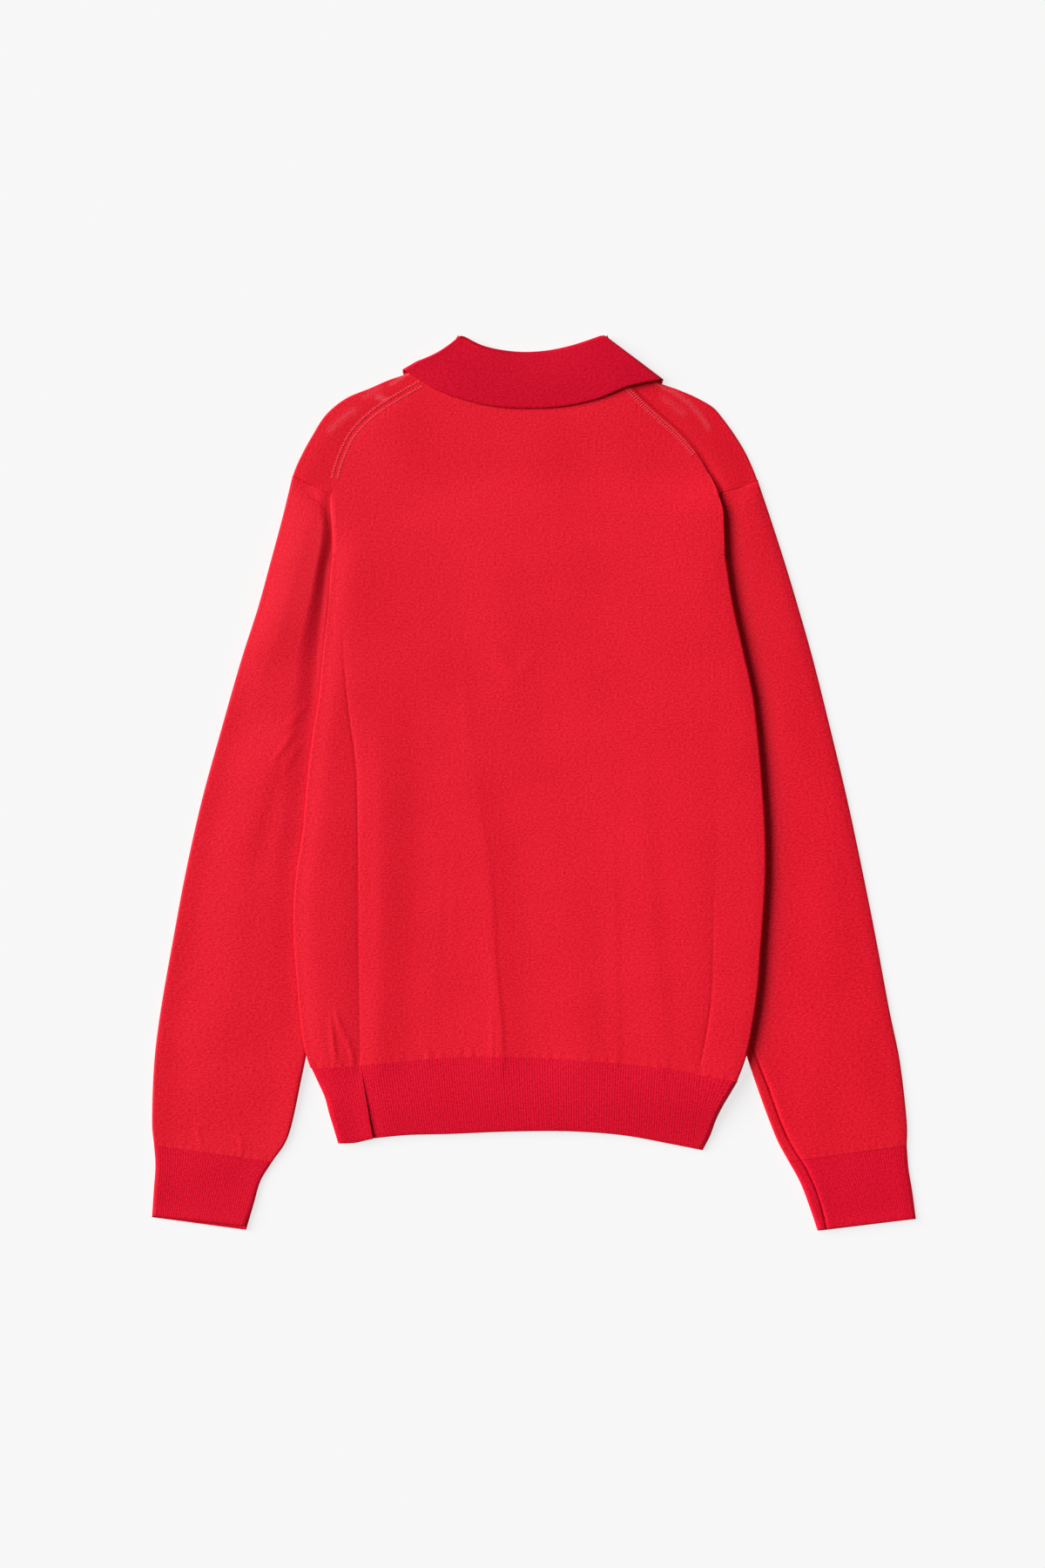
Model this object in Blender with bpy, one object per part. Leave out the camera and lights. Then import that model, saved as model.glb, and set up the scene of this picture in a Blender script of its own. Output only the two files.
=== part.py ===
"""A fine-knit pullover with a fold-over collar and a short neck zip, laid flat with its back up.

X runs across the garment, Y from the cuffs to the collar and Z up from the surface it lies on.
Every size below is in millimetres; the meshes are made in metres. The cloth pieces are walls: each
is a grid of points on its outer face, with the wall's thickness added behind it.

From the surface upwards lie the sleeves, the collar's front leaves, the front panel with its zip,
the back panel and the back of the collar. The body's sides lie on the sleeves.
"""
import math

import bmesh
import bpy
import numpy as np
from mathutils import Vector

MM = 0.001

# ---- driving sizes --------------------------------------------------------------------------

WALL = 1.2                 # plain knit
BAND_WALL = 1.7            # ribbed hem and cuffs
COLLAR_WALL = 1.8
SEAM = 0.35                # space kept between pieces at a seam
CLEAR = 0.4                # space kept between layers that lie on each other

TWO_LAYERS = 3.6           # height of two layers lying on each other
EDGE_LOFT = 1.3            # how much higher the springy folds at the edges stand
EDGE_LOFT_WIDTH = 14.0
SLEEVE_TOP = 4.4           # height of a sleeve at its folded edges
OVER_SLEEVE = 5.0          # underside of the body where it lies on a sleeve
DRAPE = 28.0               # how far the body takes to come down beside a sleeve

RIB_PITCH = 2.2
RIB_RISE = 0.45

ZIP_BOTTOM_Y = 106.0
ZIP_TOP_Y = 266.0
ZIP_BOTTOM_X = -14.0
ZIP_TOP_X = -4.0
SLIT_HALF_WIDTH = 5.2
TAPE_INNER, TAPE_OUTER = 2.5, 11.0
TAPE_WALL = 1.0
CHAIN_HALF_WIDTH, CHAIN_HEIGHT = 2.1, 1.4
SLIDER_WIDTH, SLIDER_LENGTH = 8.0, 11.0
SLIDER_TOP_Y = ZIP_TOP_Y + 0.9
SLIDER_LOW_Y = SLIDER_TOP_Y - SLIDER_LENGTH
SLIDER_WEDGE = 2.2         # length of the wedge that joins the plates past the chain's end
PLATE = 0.8                # thickness of each of the slider's plates
BRIDGE_BAR, BRIDGE_HOLE, BRIDGE_WIDTH = 0.7, 1.6, 2.2
BRIDGE_LEG = 1.3
BRIDGE_LOW_Y = SLIDER_LOW_Y + 1.2
PULL_WIDTH, PULL_LENGTH, PULL_THICK = 6.6, 25.0, 0.9
PULL_EYE_WIDTH, PULL_EYE_LENGTH = 3.2, 4.0
PULL_BAR = 0.45            # half the width of the bar that turns in the bridge

TUBE_TURN = 3.0            # depth of a sleeve's folded edges
CUFF_TURN, CUFF_TOP = 3.2, 4.7
SIDE_TURN = 3.6            # depth of the body's folded sides, less at the armpits
ARMPIT_TURN = 2.0
SHOULDER_TURN = 3.0
HEM_TURN = 4.0
HEM_STEP = 0.3             # how far the hem's upper layer stands over the plain knit
HEM_MIDDLE_X = -12.0
COLLAR_FOLD = 2.1          # half the height of the folded collar, and the reach of its fold
COLLAR_LIFT = 4.5          # underside of the collar's back
COLLAR_TURN = {"seam_x": 0.8, "fold_x": 1.6, "edge_x": 4.4}     # reach of its turns at the sides

# How the front's lengthwise lines are shared from each side to the zip's slit.
FRONT_SHARES = (0, 0.05, 0.11, 0.18, 0.27, 0.38, 0.50, 0.63, 0.76, 0.88, 1.0)
SHOULDER_COUNT = 7         # how many of these lines run up to the shoulder; the rest meet the neck
SIDE_COLUMNS = 9           # columns on the top and round the fold, on either side
TURN_STEPS = 2             # steps round each quarter of a tube's folded edge

# ---- the garment's outline ------------------------------------------------------------------

# The body's folded edges below the armpits, and the side seams that lie on the back.
BODY_COLUMNS = ("y", "left", "right", "seam_left", "seam_right")
BODY = (
    (196, -173.9, 161.6, -169.9, 157.9),
    (155, -177.7, 169.6, -168.2, 156.6),
    (115, -181.7, 179.9, -164.4, 154.8),
    (75, -185.6, 188.5, -161.0, 154.1),
    (35, -191.8, 193.3, -156.8, 154.3),
    (-5, -196.2, 195.5, -153.5, 155.0),
    (-45, -199.8, 197.1, -151.8, 155.7),
    (-80, -205.2, 197.4, -151.0, 155.3),
    (-110, -207.3, 196.6, -150.8, 154.2),
    (-140, -206.7, 195.3, -150.6, 152.3),
    (-170, -204.3, 193.2, -150.4, 150.8),
    (-205, -201.5, 188.5, -150.4, 149.0),
    (-235, -196.1, 182.3, -150.4, 145.6),
    (-260, -187.0, 173.4, -149.0, 142.4),
)

# The back panel above the armpits: armholes up to the shoulder corner, then the shoulder seams.
YOKE_COLUMNS = ("y", "left", "right")
YOKE = (
    (196, -169.9, 157.9),
    (222, -172.6, 156.9),
    (249, -175.3, 156.0),
    (267, -173.0, 150.0),
    (285, -167.0, 139.2),
    (303, -157.4, 123.2),
    (321, -139.0, 102.6),
    (339, -111.0, 84.0),
    (357, -78.0, 70.0),
)
NECK_DROP = 17.0           # the back neck seam's sag between the shoulder seams

# The shoulder folds, from the sleeve's tip to the neck, as (x, y).
SHOULDER_FOLD = {
    -1: ((-208.1, 264.8), (-206.6, 269.4), (-199.9, 284.2), (-191.6, 299.2), (-178.9, 318.4),
         (-162.4, 331.6), (-141.4, 340.4), (-124.5, 347.6), (-111.0, 352.2), (-98.0, 358.4),
         (-83.0, 365.4)),
    1: ((193.1, 259.5), (189.4, 269.2), (182.6, 284.2), (173.6, 299.2), (163.1, 313.8),
        (155.6, 322.8), (142.1, 331.2), (123.6, 339.2), (108.5, 344.6), (94.0, 352.4),
        (79.0, 361.4)),
}
ARMPIT_Y = 196.0
BODY_FOOT = -236.0         # where the body's rows start before they follow the hem's seam
SHOULDER_LOW, SHOULDER_HIGH = 249.0, 357.0     # lower and upper end of the shoulder seams
ARMHOLE_CORNER = {-1: (-175.3, SHOULDER_LOW), 1: (156.0, SHOULDER_LOW)}
FRONT_OVERHANG = 0.3       # how far the front's armholes stand beyond the back's

# The front neck seam, from the shoulder to the zip, as (x, y).
FRONT_NECK = {
    -1: ((-81.0, 365.0), (-76.0, 340.0), (-66.0, 314.0), (-46.0, 286.0), (-9.4, 268.4)),
    1: ((77.0, 361.0), (70.0, 338.0), (59.0, 312.0), (39.0, 285.0), (1.4, 268.4)),
}

# The hem's seam and its lower edge.
PLACE_COLUMNS = ("x", "y")
HEM_SEAM = (
    (-193.9, -245.2), (-153.4, -243.4), (-141.4, -241.9), (-103.9, -238.5), (-60.4, -235.5),
    (-25.9, -235.3), (19.9, -237.0), (82.1, -241.9), (122.6, -246.5), (144.4, -251.2),
    (177.5, -257.2),
)
HEM_EDGE = (
    (-169.1, -310.5), (-154.1, -309.8), (-141.4, -306.8), (-118.1, -303.8), (-73.1, -302.2),
    (-19.1, -300.0), (34.9, -300.0), (79.9, -303.8), (115.9, -310.5), (145.5, -316.4),
)
# The hem's folded edges and its side seams, from its top to its lower edge.
HEM_COLUMNS = ("down", "left", "right", "seam_left", "seam_right")
HEM = (
    (0.0, -192.0, 174.9, -148.6, 143.0),
    (0.2, -186.0, 168.5, -146.8, 141.8),
    (0.4, -180.3, 161.8, -144.9, 140.6),
    (0.6, -176.9, 156.2, -142.7, 139.4),
    (0.8, -172.9, 151.8, -140.8, 138.2),
    (1.0, -169.1, 145.3, -138.6, 137.0),
)
HEM_DOWNS = (1.0, 0.5, 0.0)

# Each row of a sleeve or cuff runs from its outer fold to its inner one. rise is the height of its
# middle and inner_rise that of its inner edge; bend is how far its middle is pushed towards the
# armhole's corner, as a share.
TUBE_COLUMNS = ("outer_x", "outer_y", "inner_x", "inner_y", "rise", "inner_rise", "bend")
SLEEVE = {
    -1: (
        (-327.9, -311.6, -225.8, -326.4, 3.9, 4.4, 0),
        (-329.6, -290.0, -211.6, -303.0, 3.7, 4.4, 0),
        (-327.6, -240.0, -200.4, -254.0, 3.5, 4.4, 0),
        (-322.0, -195.0, -191.3, -209.0, 3.5, 4.3, 0),
        (-311.5, -135.0, -180.0, -149.0, 3.5, 4.2, 0),
        (-300.2, -75.0, -171.0, -89.0, 3.5, 4.2, 0),
        (-286.7, -15.0, -163.8, -29.0, 3.5, 4.2, 0),
        (-270.2, 45.0, -158.3, 31.0, 3.5, 4.2, 0),
        (-252.9, 105.0, -160.5, 88.0, 3.5, 4.1, 0.05),
        (-238.4, 150.0, -167.0, 126.0, 3.5, 3.9, 0.15),
        (-227.4, 190.0, -171.5, 156.0, 3.5, 3.5, 0.35),
        (-217.0, 229.0, -173.2, 178.0, 3.6, 3.2, 0.65),
        (-208.6, 264.2, -171.7, 195.4, 3.7, 3.0, 1.0),
    ),
    1: (
        (321.4, -312.0, 219.2, -326.0, 3.9, 4.4, 0),
        (321.2, -290.0, 207.4, -303.0, 3.7, 4.4, 0),
        (315.4, -240.0, 189.4, -254.0, 3.5, 4.4, 0),
        (306.2, -195.0, 175.7, -209.0, 3.5, 4.3, 0),
        (295.0, -135.0, 164.0, -149.0, 3.5, 4.2, 0),
        (283.0, -75.0, 156.4, -89.0, 3.5, 4.2, 0),
        (270.2, -15.0, 150.4, -29.0, 3.5, 4.2, 0),
        (255.9, 45.0, 146.2, 31.0, 3.5, 4.2, 0),
        (240.9, 105.0, 147.5, 88.0, 3.5, 4.1, 0.05),
        (228.2, 150.0, 154.5, 126.0, 3.5, 3.9, 0.15),
        (216.2, 190.0, 159.5, 156.0, 3.5, 3.5, 0.35),
        (203.6, 229.0, 161.5, 178.0, 3.6, 3.2, 0.65),
        (193.5, 258.9, 160.0, 195.4, 3.7, 3.0, 1.0),
    ),
}
CUFF = {
    -1: (
        (-329.6, -374.2, -248.4, -385.2, 4.2, 4.6, 0),
        (-328.0, -350.0, -241.6, -362.0, 4.3, 4.7, 0),
        (-326.6, -330.0, -236.0, -343.0, 4.3, 4.7, 0),
        (-327.8, -312.0, -226.3, -326.9, 4.0, 4.5, 0),
    ),
    1: (
        (329.2, -375.7, 244.4, -386.0, 4.2, 4.6, 0),
        (326.2, -353.0, 236.6, -363.0, 4.3, 4.7, 0),
        (322.8, -332.0, 229.2, -344.0, 4.3, 4.7, 0),
        (321.3, -312.4, 219.7, -326.5, 4.0, 4.5, 0),
    ),
}

# The collar, station by station from the zip's left round the back to its right. Each gives the
# neck seam, the fold and the free edge; turn is 0 on the front layer, 1 on the back layer.
COLLAR_COLUMNS = ("turn", "seam_x", "seam_y", "fold_x", "fold_y", "edge_x", "edge_y")
COLLAR = (
    (0.0, -9.6, 269.2, -10.4, 297.0, -38.0, 239.0),
    (0.0, -29.0, 278.6, -24.0, 301.5, -58.0, 249.0),
    (0.0, -48.0, 293.2, -37.0, 312.0, -80.0, 270.0),
    (0.0, -64.4, 315.0, -48.0, 330.0, -98.0, 300.0),
    (0.0, -74.0, 340.0, -56.0, 356.0, -108.0, 330.0),
    (0.5, -79.0, 361.5, -62.6, 385.9, -113.6, 356.4),
    (1.0, -66.0, 352.9, -48.0, 378.2, -86.0, 339.4),
    (1.0, -46.0, 346.4, -35.0, 374.2, -56.0, 328.6),
    (1.0, -24.0, 342.4, -19.0, 371.8, -28.0, 323.4),
    (1.0, -4.0, 341.2, -4.0, 371.3, 0.0, 322.4),
    (1.0, 16.0, 342.4, 12.0, 372.6, 26.0, 324.2),
    (1.0, 38.0, 346.4, 29.0, 376.0, 54.0, 330.4),
    (1.0, 58.0, 353.4, 46.0, 381.2, 84.0, 342.0),
    (0.5, 72.4, 361.0, 60.0, 386.2, 111.4, 347.6),
    (0.0, 67.6, 338.0, 52.0, 356.0, 104.0, 325.0),
    (0.0, 57.2, 313.6, 43.0, 330.0, 92.0, 296.0),
    (0.0, 40.4, 292.2, 31.0, 312.0, 74.0, 268.0),
    (0.0, 21.0, 278.2, 17.0, 301.5, 51.0, 248.0),
    (0.0, 1.6, 269.2, 2.4, 297.0, 31.0, 239.0),
)
NECK_X, NECK_Y = -3.0, 352.0          # middle of the collar's leaves
LEAF_HALF_WIDTH, LEAF_DEPTH = 118.0, 126.0

# The main folds and troughs of the back, from their upper to their lower end.
FOLD_COLUMNS = ("x_upper", "y_upper", "x_lower", "y_lower", "rise", "half_width")
FOLDS = {
    "trough_left": (-119.0, 110.0, -117.0, -232.0, -0.5, 9.0),
    "crease_middle": (-51.0, -12.0, -27.6, -236.0, 1.1, 5.0),
    "crease_right": (66.0, 15.0, 71.0, -238.0, 0.6, 5.0),
}
RED = {"plain": (0.745, 0.012, 0.032), "rib": (0.62, 0.008, 0.026), "collar": (0.60, 0.006, 0.024),
       "tape": (0.5, 0.01, 0.03), "teeth": (0.45, 0.02, 0.03)}
STEEL = (0.62, 0.60, 0.56)


# ---- reading the tables ---------------------------------------------------------------------

def smooth(t):
    """0 at and below 0, 1 at and above 1, with a soft start and end."""
    t = min(max(t, 0.0), 1.0)
    return t * t * (3 - 2 * t)


def curve(places, values):
    """A smooth function through the values at rising places, held level beyond both ends."""
    order = np.argsort(places)
    places = np.asarray(places, float)[order]
    values = np.asarray(values, float)[order]
    slopes = np.gradient(values, places)

    def value(at):
        at = min(max(at, places[0]), places[-1])
        k = int(min(max(np.searchsorted(places, at) - 1, 0), len(places) - 2))
        step = places[k + 1] - places[k]
        t = (at - places[k]) / step
        start, end = values[k], values[k + 1]
        bend = (t - 1) * step * slopes[k] * (1 - t) * -t - t * step * slopes[k + 1] * (1 - t) * t
        return float(start + (end - start) * t * t * (3 - 2 * t) + bend)

    return value


def column(names, rows, name, against):
    """A table's column as a smooth function of another of its columns."""
    at, of = names.index(against), names.index(name)
    return curve([row[at] for row in rows], [row[of] for row in rows])


def line(points):
    """A smooth line through points in the plan, read by its share of the whole length."""
    points = np.asarray(points, float)
    steps = np.hypot(*np.diff(points, axis=0).T)
    shares = np.concatenate([[0], np.cumsum(steps)]) / steps.sum()
    in_x, in_y = curve(shares, points[:, 0]), curve(shares, points[:, 1])
    return lambda share: np.array([in_x(share), in_y(share)])


body_left = column(BODY_COLUMNS, BODY, "left", "y")
body_right = column(BODY_COLUMNS, BODY, "right", "y")
body_seam = {-1: column(BODY_COLUMNS, BODY, "seam_left", "y"),
             1: column(BODY_COLUMNS, BODY, "seam_right", "y")}
body_fold = {-1: body_left, 1: body_right}
yoke_edge = {-1: column(YOKE_COLUMNS, YOKE, "left", "y"), 1: column(YOKE_COLUMNS, YOKE, "right", "y")}
shoulder_fold = {side: line(points) for side, points in SHOULDER_FOLD.items()}
front_neck = {side: line(points) for side, points in FRONT_NECK.items()}
hem_seam = column(PLACE_COLUMNS, HEM_SEAM, "y", "x")
hem_edge = column(PLACE_COLUMNS, HEM_EDGE, "y", "x")
sleeve_inner = {side: column(TUBE_COLUMNS, rows, "inner_x", "inner_y")
                for side, rows in SLEEVE.items()}


def zip_axis(y):
    """Where the zip's middle runs."""
    share = (y - ZIP_BOTTOM_Y) / (ZIP_TOP_Y - ZIP_BOTTOM_Y)
    return ZIP_BOTTOM_X + (ZIP_TOP_X - ZIP_BOTTOM_X) * min(max(share, 0.0), 1.0)


# ---- how high the layers lie ----------------------------------------------------------------

def over_sleeves(x, y, drape):
    """How far the body is lifted by the sleeves beneath its sides."""
    lift = 0.0
    for side, inner in sleeve_inner.items():
        beyond = side * (inner(y) - x)
        near_armpit = 0.7 * smooth((240 - y) / 44) + 0.3 * smooth((197 - y) / 10)
        past_hem = smooth((y + 330) / 60)
        lift += OVER_SLEEVE * smooth(1 - beyond / drape) * near_armpit * past_hem
    return lift


def over_leaves(x, y, reach):
    """How far the front panel is lifted by the collar's front leaves."""
    leaf = math.hypot((x - NECK_X) / LEAF_HALF_WIDTH, (y - NECK_Y) / LEAF_DEPTH)
    return (COLLAR_WALL + CLEAR) * smooth((1.0 + reach - leaf) / reach)


def underside(x, y):
    """Lower face of the front panel: level on the surface, raised over what lies beneath."""
    return max(over_sleeves(x, y, DRAPE), over_leaves(x, y, 0.3))


def fold_relief(x, y):
    """Height of the main folds and troughs that run down the back."""
    height = 0.0
    for x_upper, y_upper, x_lower, y_lower, rise, half_width in FOLDS.values():
        along = (y_upper - y) / (y_upper - y_lower)
        middle = x_upper + (x_lower - x_upper) * along
        height += rise * smooth(along * 3) * math.exp(-((x - middle) / half_width) ** 2)
    return height


def zip_relief(x, y):
    """The soft ridge that the zip below raises in the back panel."""
    across = (x - zip_axis(y)) / 19
    along = smooth((y - ZIP_BOTTOM_Y + 30) / 26) * smooth((ZIP_TOP_Y + 30 - y) / 26)
    at_slider = math.exp(-((y - ZIP_TOP_Y + 6) / 20) ** 2)
    return (0.85 + 1.3 * at_slider) * along * math.exp(-across ** 4)


def edge_distance(x, y):
    """How far a point of the body is from its folded outline."""
    nearest = 1e9
    for points in OUTLINE:
        start, end = points[:-1], points[1:]
        run = end - start
        share = ((x - start[:, 0]) * run[:, 0] + (y - start[:, 1]) * run[:, 1]) / (run ** 2).sum(axis=1)
        foot = start + run * np.clip(share, 0, 1)[:, None]
        nearest = min(nearest, float(np.hypot(foot[:, 0] - x, foot[:, 1] - y).min()))
    return nearest


OUTLINE = []
for outline_side in (-1, 1):
    OUTLINE.append(np.array([(body_fold[outline_side](y), y) for y in range(236, -330, -14)]))
    OUTLINE.append(np.array([shoulder_fold[outline_side](k / 12) for k in range(13)]))


def topside(x, y):
    """Upper face of the back."""
    lift = max(over_sleeves(x, y, DRAPE + 16), over_leaves(x, y, 0.42))
    loft = EDGE_LOFT * math.exp(-(edge_distance(x, y) / EDGE_LOFT_WIDTH) ** 2)
    sag = 0.9 * math.exp(-((x - NECK_X) / 40) ** 2 - ((y - 352) / 26) ** 2)
    leaf = math.hypot((x - NECK_X) / LEAF_HALF_WIDTH, (y - NECK_Y) / LEAF_DEPTH)
    loft *= 1 - 0.8 * smooth((1.15 - leaf) / 0.2)
    return lift + TWO_LAYERS + loft + fold_relief(x, y) + zip_relief(x, y) - sag


# ---- making a wall --------------------------------------------------------------------------

def material(name, colour, roughness, metallic=0.0):
    """A plain material of one colour."""
    made = bpy.data.materials.new(name)
    made.use_nodes = True
    shader = made.node_tree.nodes["Principled BSDF"]
    shader.inputs["Base Color"].default_value = (*colour, 1)
    shader.inputs["Roughness"].default_value = roughness
    shader.inputs["Metallic"].default_value = metallic
    return made


def add_object(name, mesh_data, colour, roughness=0.9, metallic=0.0, place=(0, 0, 0)):
    """Turn a bmesh into a named object, smooth but for its sharp edges."""
    mesh = bpy.data.meshes.new(name)
    bmesh.ops.recalc_face_normals(mesh_data, faces=mesh_data.faces)
    mesh_data.to_mesh(mesh)
    mesh_data.free()
    mesh.shade_smooth()
    mesh.set_sharp_from_angle(angle=math.radians(50))
    mesh.materials.append(material(name, colour, roughness, metallic))
    piece = bpy.data.objects.new(name, mesh)
    piece.location = Vector(place) * MM
    bpy.context.collection.objects.link(piece)
    return piece


def wall(name, rows, thickness, colour, missing=(), closed=False, raised=None, **looks):
    """A wall whose outer face is a grid of points, its thickness added behind.

    Points of a row run so that the face looks out when the rows run up the garment. missing holds
    the grid's open cells. raised gives each outer point a height over the plain inside.
    """
    tall, wide = len(rows), len(rows[0])
    mesh = bmesh.new()
    bmesh.ops.create_grid(mesh, x_segments=wide - 1, y_segments=tall - 1, size=1)
    mesh.verts.ensure_lookup_table()
    mesh.faces.ensure_lookup_table()
    row_of = mesh.verts.layers.int.new("row")
    place_of = mesh.verts.layers.int.new("place")
    for r in range(tall):
        for c in range(wide):
            vert = mesh.verts[r * wide + c]
            vert[row_of], vert[place_of] = r, c
            if rows[r][c] is not None:
                vert.co = Vector(rows[r][c]) * MM
    open_cells = [mesh.faces[r * (wide - 1) + c] for r, c in missing]
    bmesh.ops.delete(mesh, geom=open_cells, context="FACES")
    if closed:
        bmesh.ops.remove_doubles(mesh, verts=mesh.verts, dist=1e-6)
    mesh.normal_update()
    outer = list(mesh.verts)
    inner = bmesh.ops.extrude_face_region(mesh, geom=list(mesh.faces))["geom"]
    for vert in inner:
        if isinstance(vert, bmesh.types.BMVert):
            vert.co -= vert.normal * thickness * MM
    if raised:
        for vert in outer:
            vert.co += vert.normal * raised(vert[row_of], vert[place_of]) * MM
    return add_object(name, mesh, colour, **looks)


def spread(start, end, count):
    """Evenly spaced values from start to end, both included."""
    return [start + (end - start) * k / (count - 1) for k in range(count)]


# ---- sleeves and cuffs ----------------------------------------------------------------------

def flat_ring(plan, length, high, turn, across_top, across_low):
    """Points round a tube that lies flat, from its left fold over the top and back beneath.

    plan gives the point at a distance from the left fold. turn is the depth of the folded edges.
    """
    ring = []

    def add(distance, angle):
        x, y = plan(min(max(distance, 0.0), length))
        ring.append((x, y, high(x, y) / 2 * (1 + math.sin(angle))))

    bends = [math.pi / 2 * k / TURN_STEPS for k in range(TURN_STEPS)]
    for angle in bends:
        add(turn * (1 - math.cos(angle)), angle)
    for share in across_top:
        add(turn + (length - 2 * turn) * share, math.pi / 2)
    for angle in reversed(bends):
        add(length - turn * (1 - math.cos(angle)), angle)
    for angle in bends[1:]:
        add(length - turn * (1 - math.cos(angle)), -angle)
    for share in reversed(across_low):
        add(turn + (length - 2 * turn) * share, -math.pi / 2)
    for angle in reversed(bends[1:]):
        add(turn * (1 - math.cos(angle)), -angle)
    ring.append(ring[0])
    return ring


def bent_line(start, middle, end):
    """Two straight stretches that meet at a middle point, read by distance from the start."""
    first, second = np.linalg.norm(middle - start), np.linalg.norm(end - middle)

    def point(distance):
        if distance <= first:
            return start + (middle - start) * distance / first
        return middle + (end - middle) * (distance - first) / second

    return point, first + second


def tube_row(side, row, turn, edge, push, across_top, across_low):
    """One ring of a sleeve or cuff, its folded edges standing a little over its middle.

    push moves the ring's middle in the plan by the row's bend.
    """
    outer_x, outer_y, inner_x, inner_y, rise, inner_rise, bend = row
    outer, inner = np.array((outer_x, outer_y)), np.array((inner_x, inner_y))
    middle = (outer + inner) / 2 + push * min(max(bend, 0.0), 1.0)
    left, right = (outer, inner) if side < 0 else (inner, outer)
    plan, length = bent_line(left, middle, right)

    def high(x, y):
        from_outer = math.hypot(x - outer_x, y - outer_y)
        from_inner = math.hypot(x - inner_x, y - inner_y)
        outer_loft = (edge - rise) * math.exp(-(from_outer / 12) ** 2)
        inner_loft = (inner_rise - rise) * math.exp(-(from_inner / 16) ** 2)
        return rise + outer_loft + inner_loft

    return flat_ring(plan, length, high, turn, across_top, across_low)


def table_rows(rows, count):
    """A table's rows read smoothly at evenly spaced shares of its length."""
    rows = np.asarray(rows, float)
    shares = np.linspace(0, 1, len(rows))
    readers = [curve(shares, rows[:, k]) for k in range(rows.shape[1])]
    return [[read(share) for read in readers] for share in spread(0, 1, count)]


def make_sleeve(side, name):
    """A plain knit tube from the cuff to the armhole."""
    outer_x, outer_y, inner_x, inner_y = SLEEVE[side][-1][:4]
    corner = np.array(ARMHOLE_CORNER[side]) + (side * (FRONT_OVERHANG + SEAM), -SEAM)
    push = corner - ((outer_x + inner_x) / 2, (outer_y + inner_y) / 2)
    rings = [tube_row(side, row, TUBE_TURN, SLEEVE_TOP, push, spread(0, 1, 10), spread(0, 1, 5))
             for row in table_rows(SLEEVE[side], 16)]
    wall(name, rings, WALL, RED["plain"], closed=True)


def make_cuff(side, name):
    """A ribbed tube: ribs stand on the layer that shows, the layer beneath is plain."""
    outer_x, outer_y, inner_x, inner_y = CUFF[side][0][:4]
    ribs = int(math.hypot(outer_x - inner_x, outer_y - inner_y) / RIB_PITCH)
    count = 2 * ribs + 1
    rings = [tube_row(side, row, CUFF_TURN, CUFF_TOP, np.zeros(2), spread(0, 1, count), spread(0, 1, 6))
             for row in table_rows(CUFF[side], 4)]

    def rib(r, c):
        on_top = TURN_STEPS <= c < TURN_STEPS + count
        return RIB_RISE if on_top and (c - TURN_STEPS) % 2 else 0.0

    wall(name, rings, BAND_WALL, RED["rib"], closed=True, raised=rib)


# ---- back and front -------------------------------------------------------------------------

def hem_shift(x, y):
    """Moves the lowest rows of the body so that they follow the hem's seam."""
    return (hem_seam(x) + 1.3 * SEAM - BODY_FOOT) * smooth((-120 - y) / 116)


def fold_line_x(name, y):
    """Where a fold of the back runs at a height, carried on straight above its upper end."""
    x_upper, y_upper, x_lower, y_lower = FOLDS[name][:4]
    return x_upper + (x_lower - x_upper) * (y_upper - min(y, y_upper + 60)) / (y_upper - y_lower)


def back_row(y, left, right):
    """Places across the back: set close together beside its folds, wider between them."""
    width = right - left
    above = smooth((y - 60) / 100)
    marks = [(left, 8.0), (zip_axis(y), 13.0), (right, 8.0)]
    for name, share in (("trough_left", 0.12), ("crease_middle", 0.32), ("crease_right", 0.74)):
        place = fold_line_x(name, y) * (1 - above) + (left + width * share) * above
        marks.append((place, FOLDS[name][5]))
    marks.sort()
    places = [left]
    for (start, after_start), (end, before_end) in zip(marks, marks[1:]):
        after_start, before_end = min(after_start, (end - start) / 4), min(before_end, (end - start) / 4)
        places += [start + after_start, (start + after_start + end - before_end) / 2, end - before_end, end]
    return places


def make_back():
    """The back panel, from the hem's seam to the neck."""
    rows = []
    heights = spread(BODY_FOOT, ARMPIT_Y, 15)[:-1] + spread(ARMPIT_Y, SHOULDER_LOW, 5)
    heights += spread(SHOULDER_LOW, SHOULDER_HIGH, SHOULDER_COUNT)[1:]
    for y in heights:
        edges = body_seam if y < ARMPIT_Y else yoke_edge
        left, right = edges[-1](y) + SEAM / 2, edges[1](y) - SEAM / 2
        sag = NECK_DROP * smooth((y - 262) / 95)
        curl = smooth((y - 190) / 20) * smooth((262 - y) / 20)
        row = []
        for x in back_row(y, left, right):
            across = (2 * x - left - right) / (right - left)
            bowed = y - sag * (1 - across ** 2) + hem_shift(x, y)
            inset = min(x - left, right - x)
            drop = 1.6 * curl * (1 - math.sqrt(1 - (1 - min(inset / 5, 1)) ** 2))
            row.append((x, bowed, topside(x, bowed) - drop))
        rows.append(row)
    wall("back", rows, WALL, RED["plain"])


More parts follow.
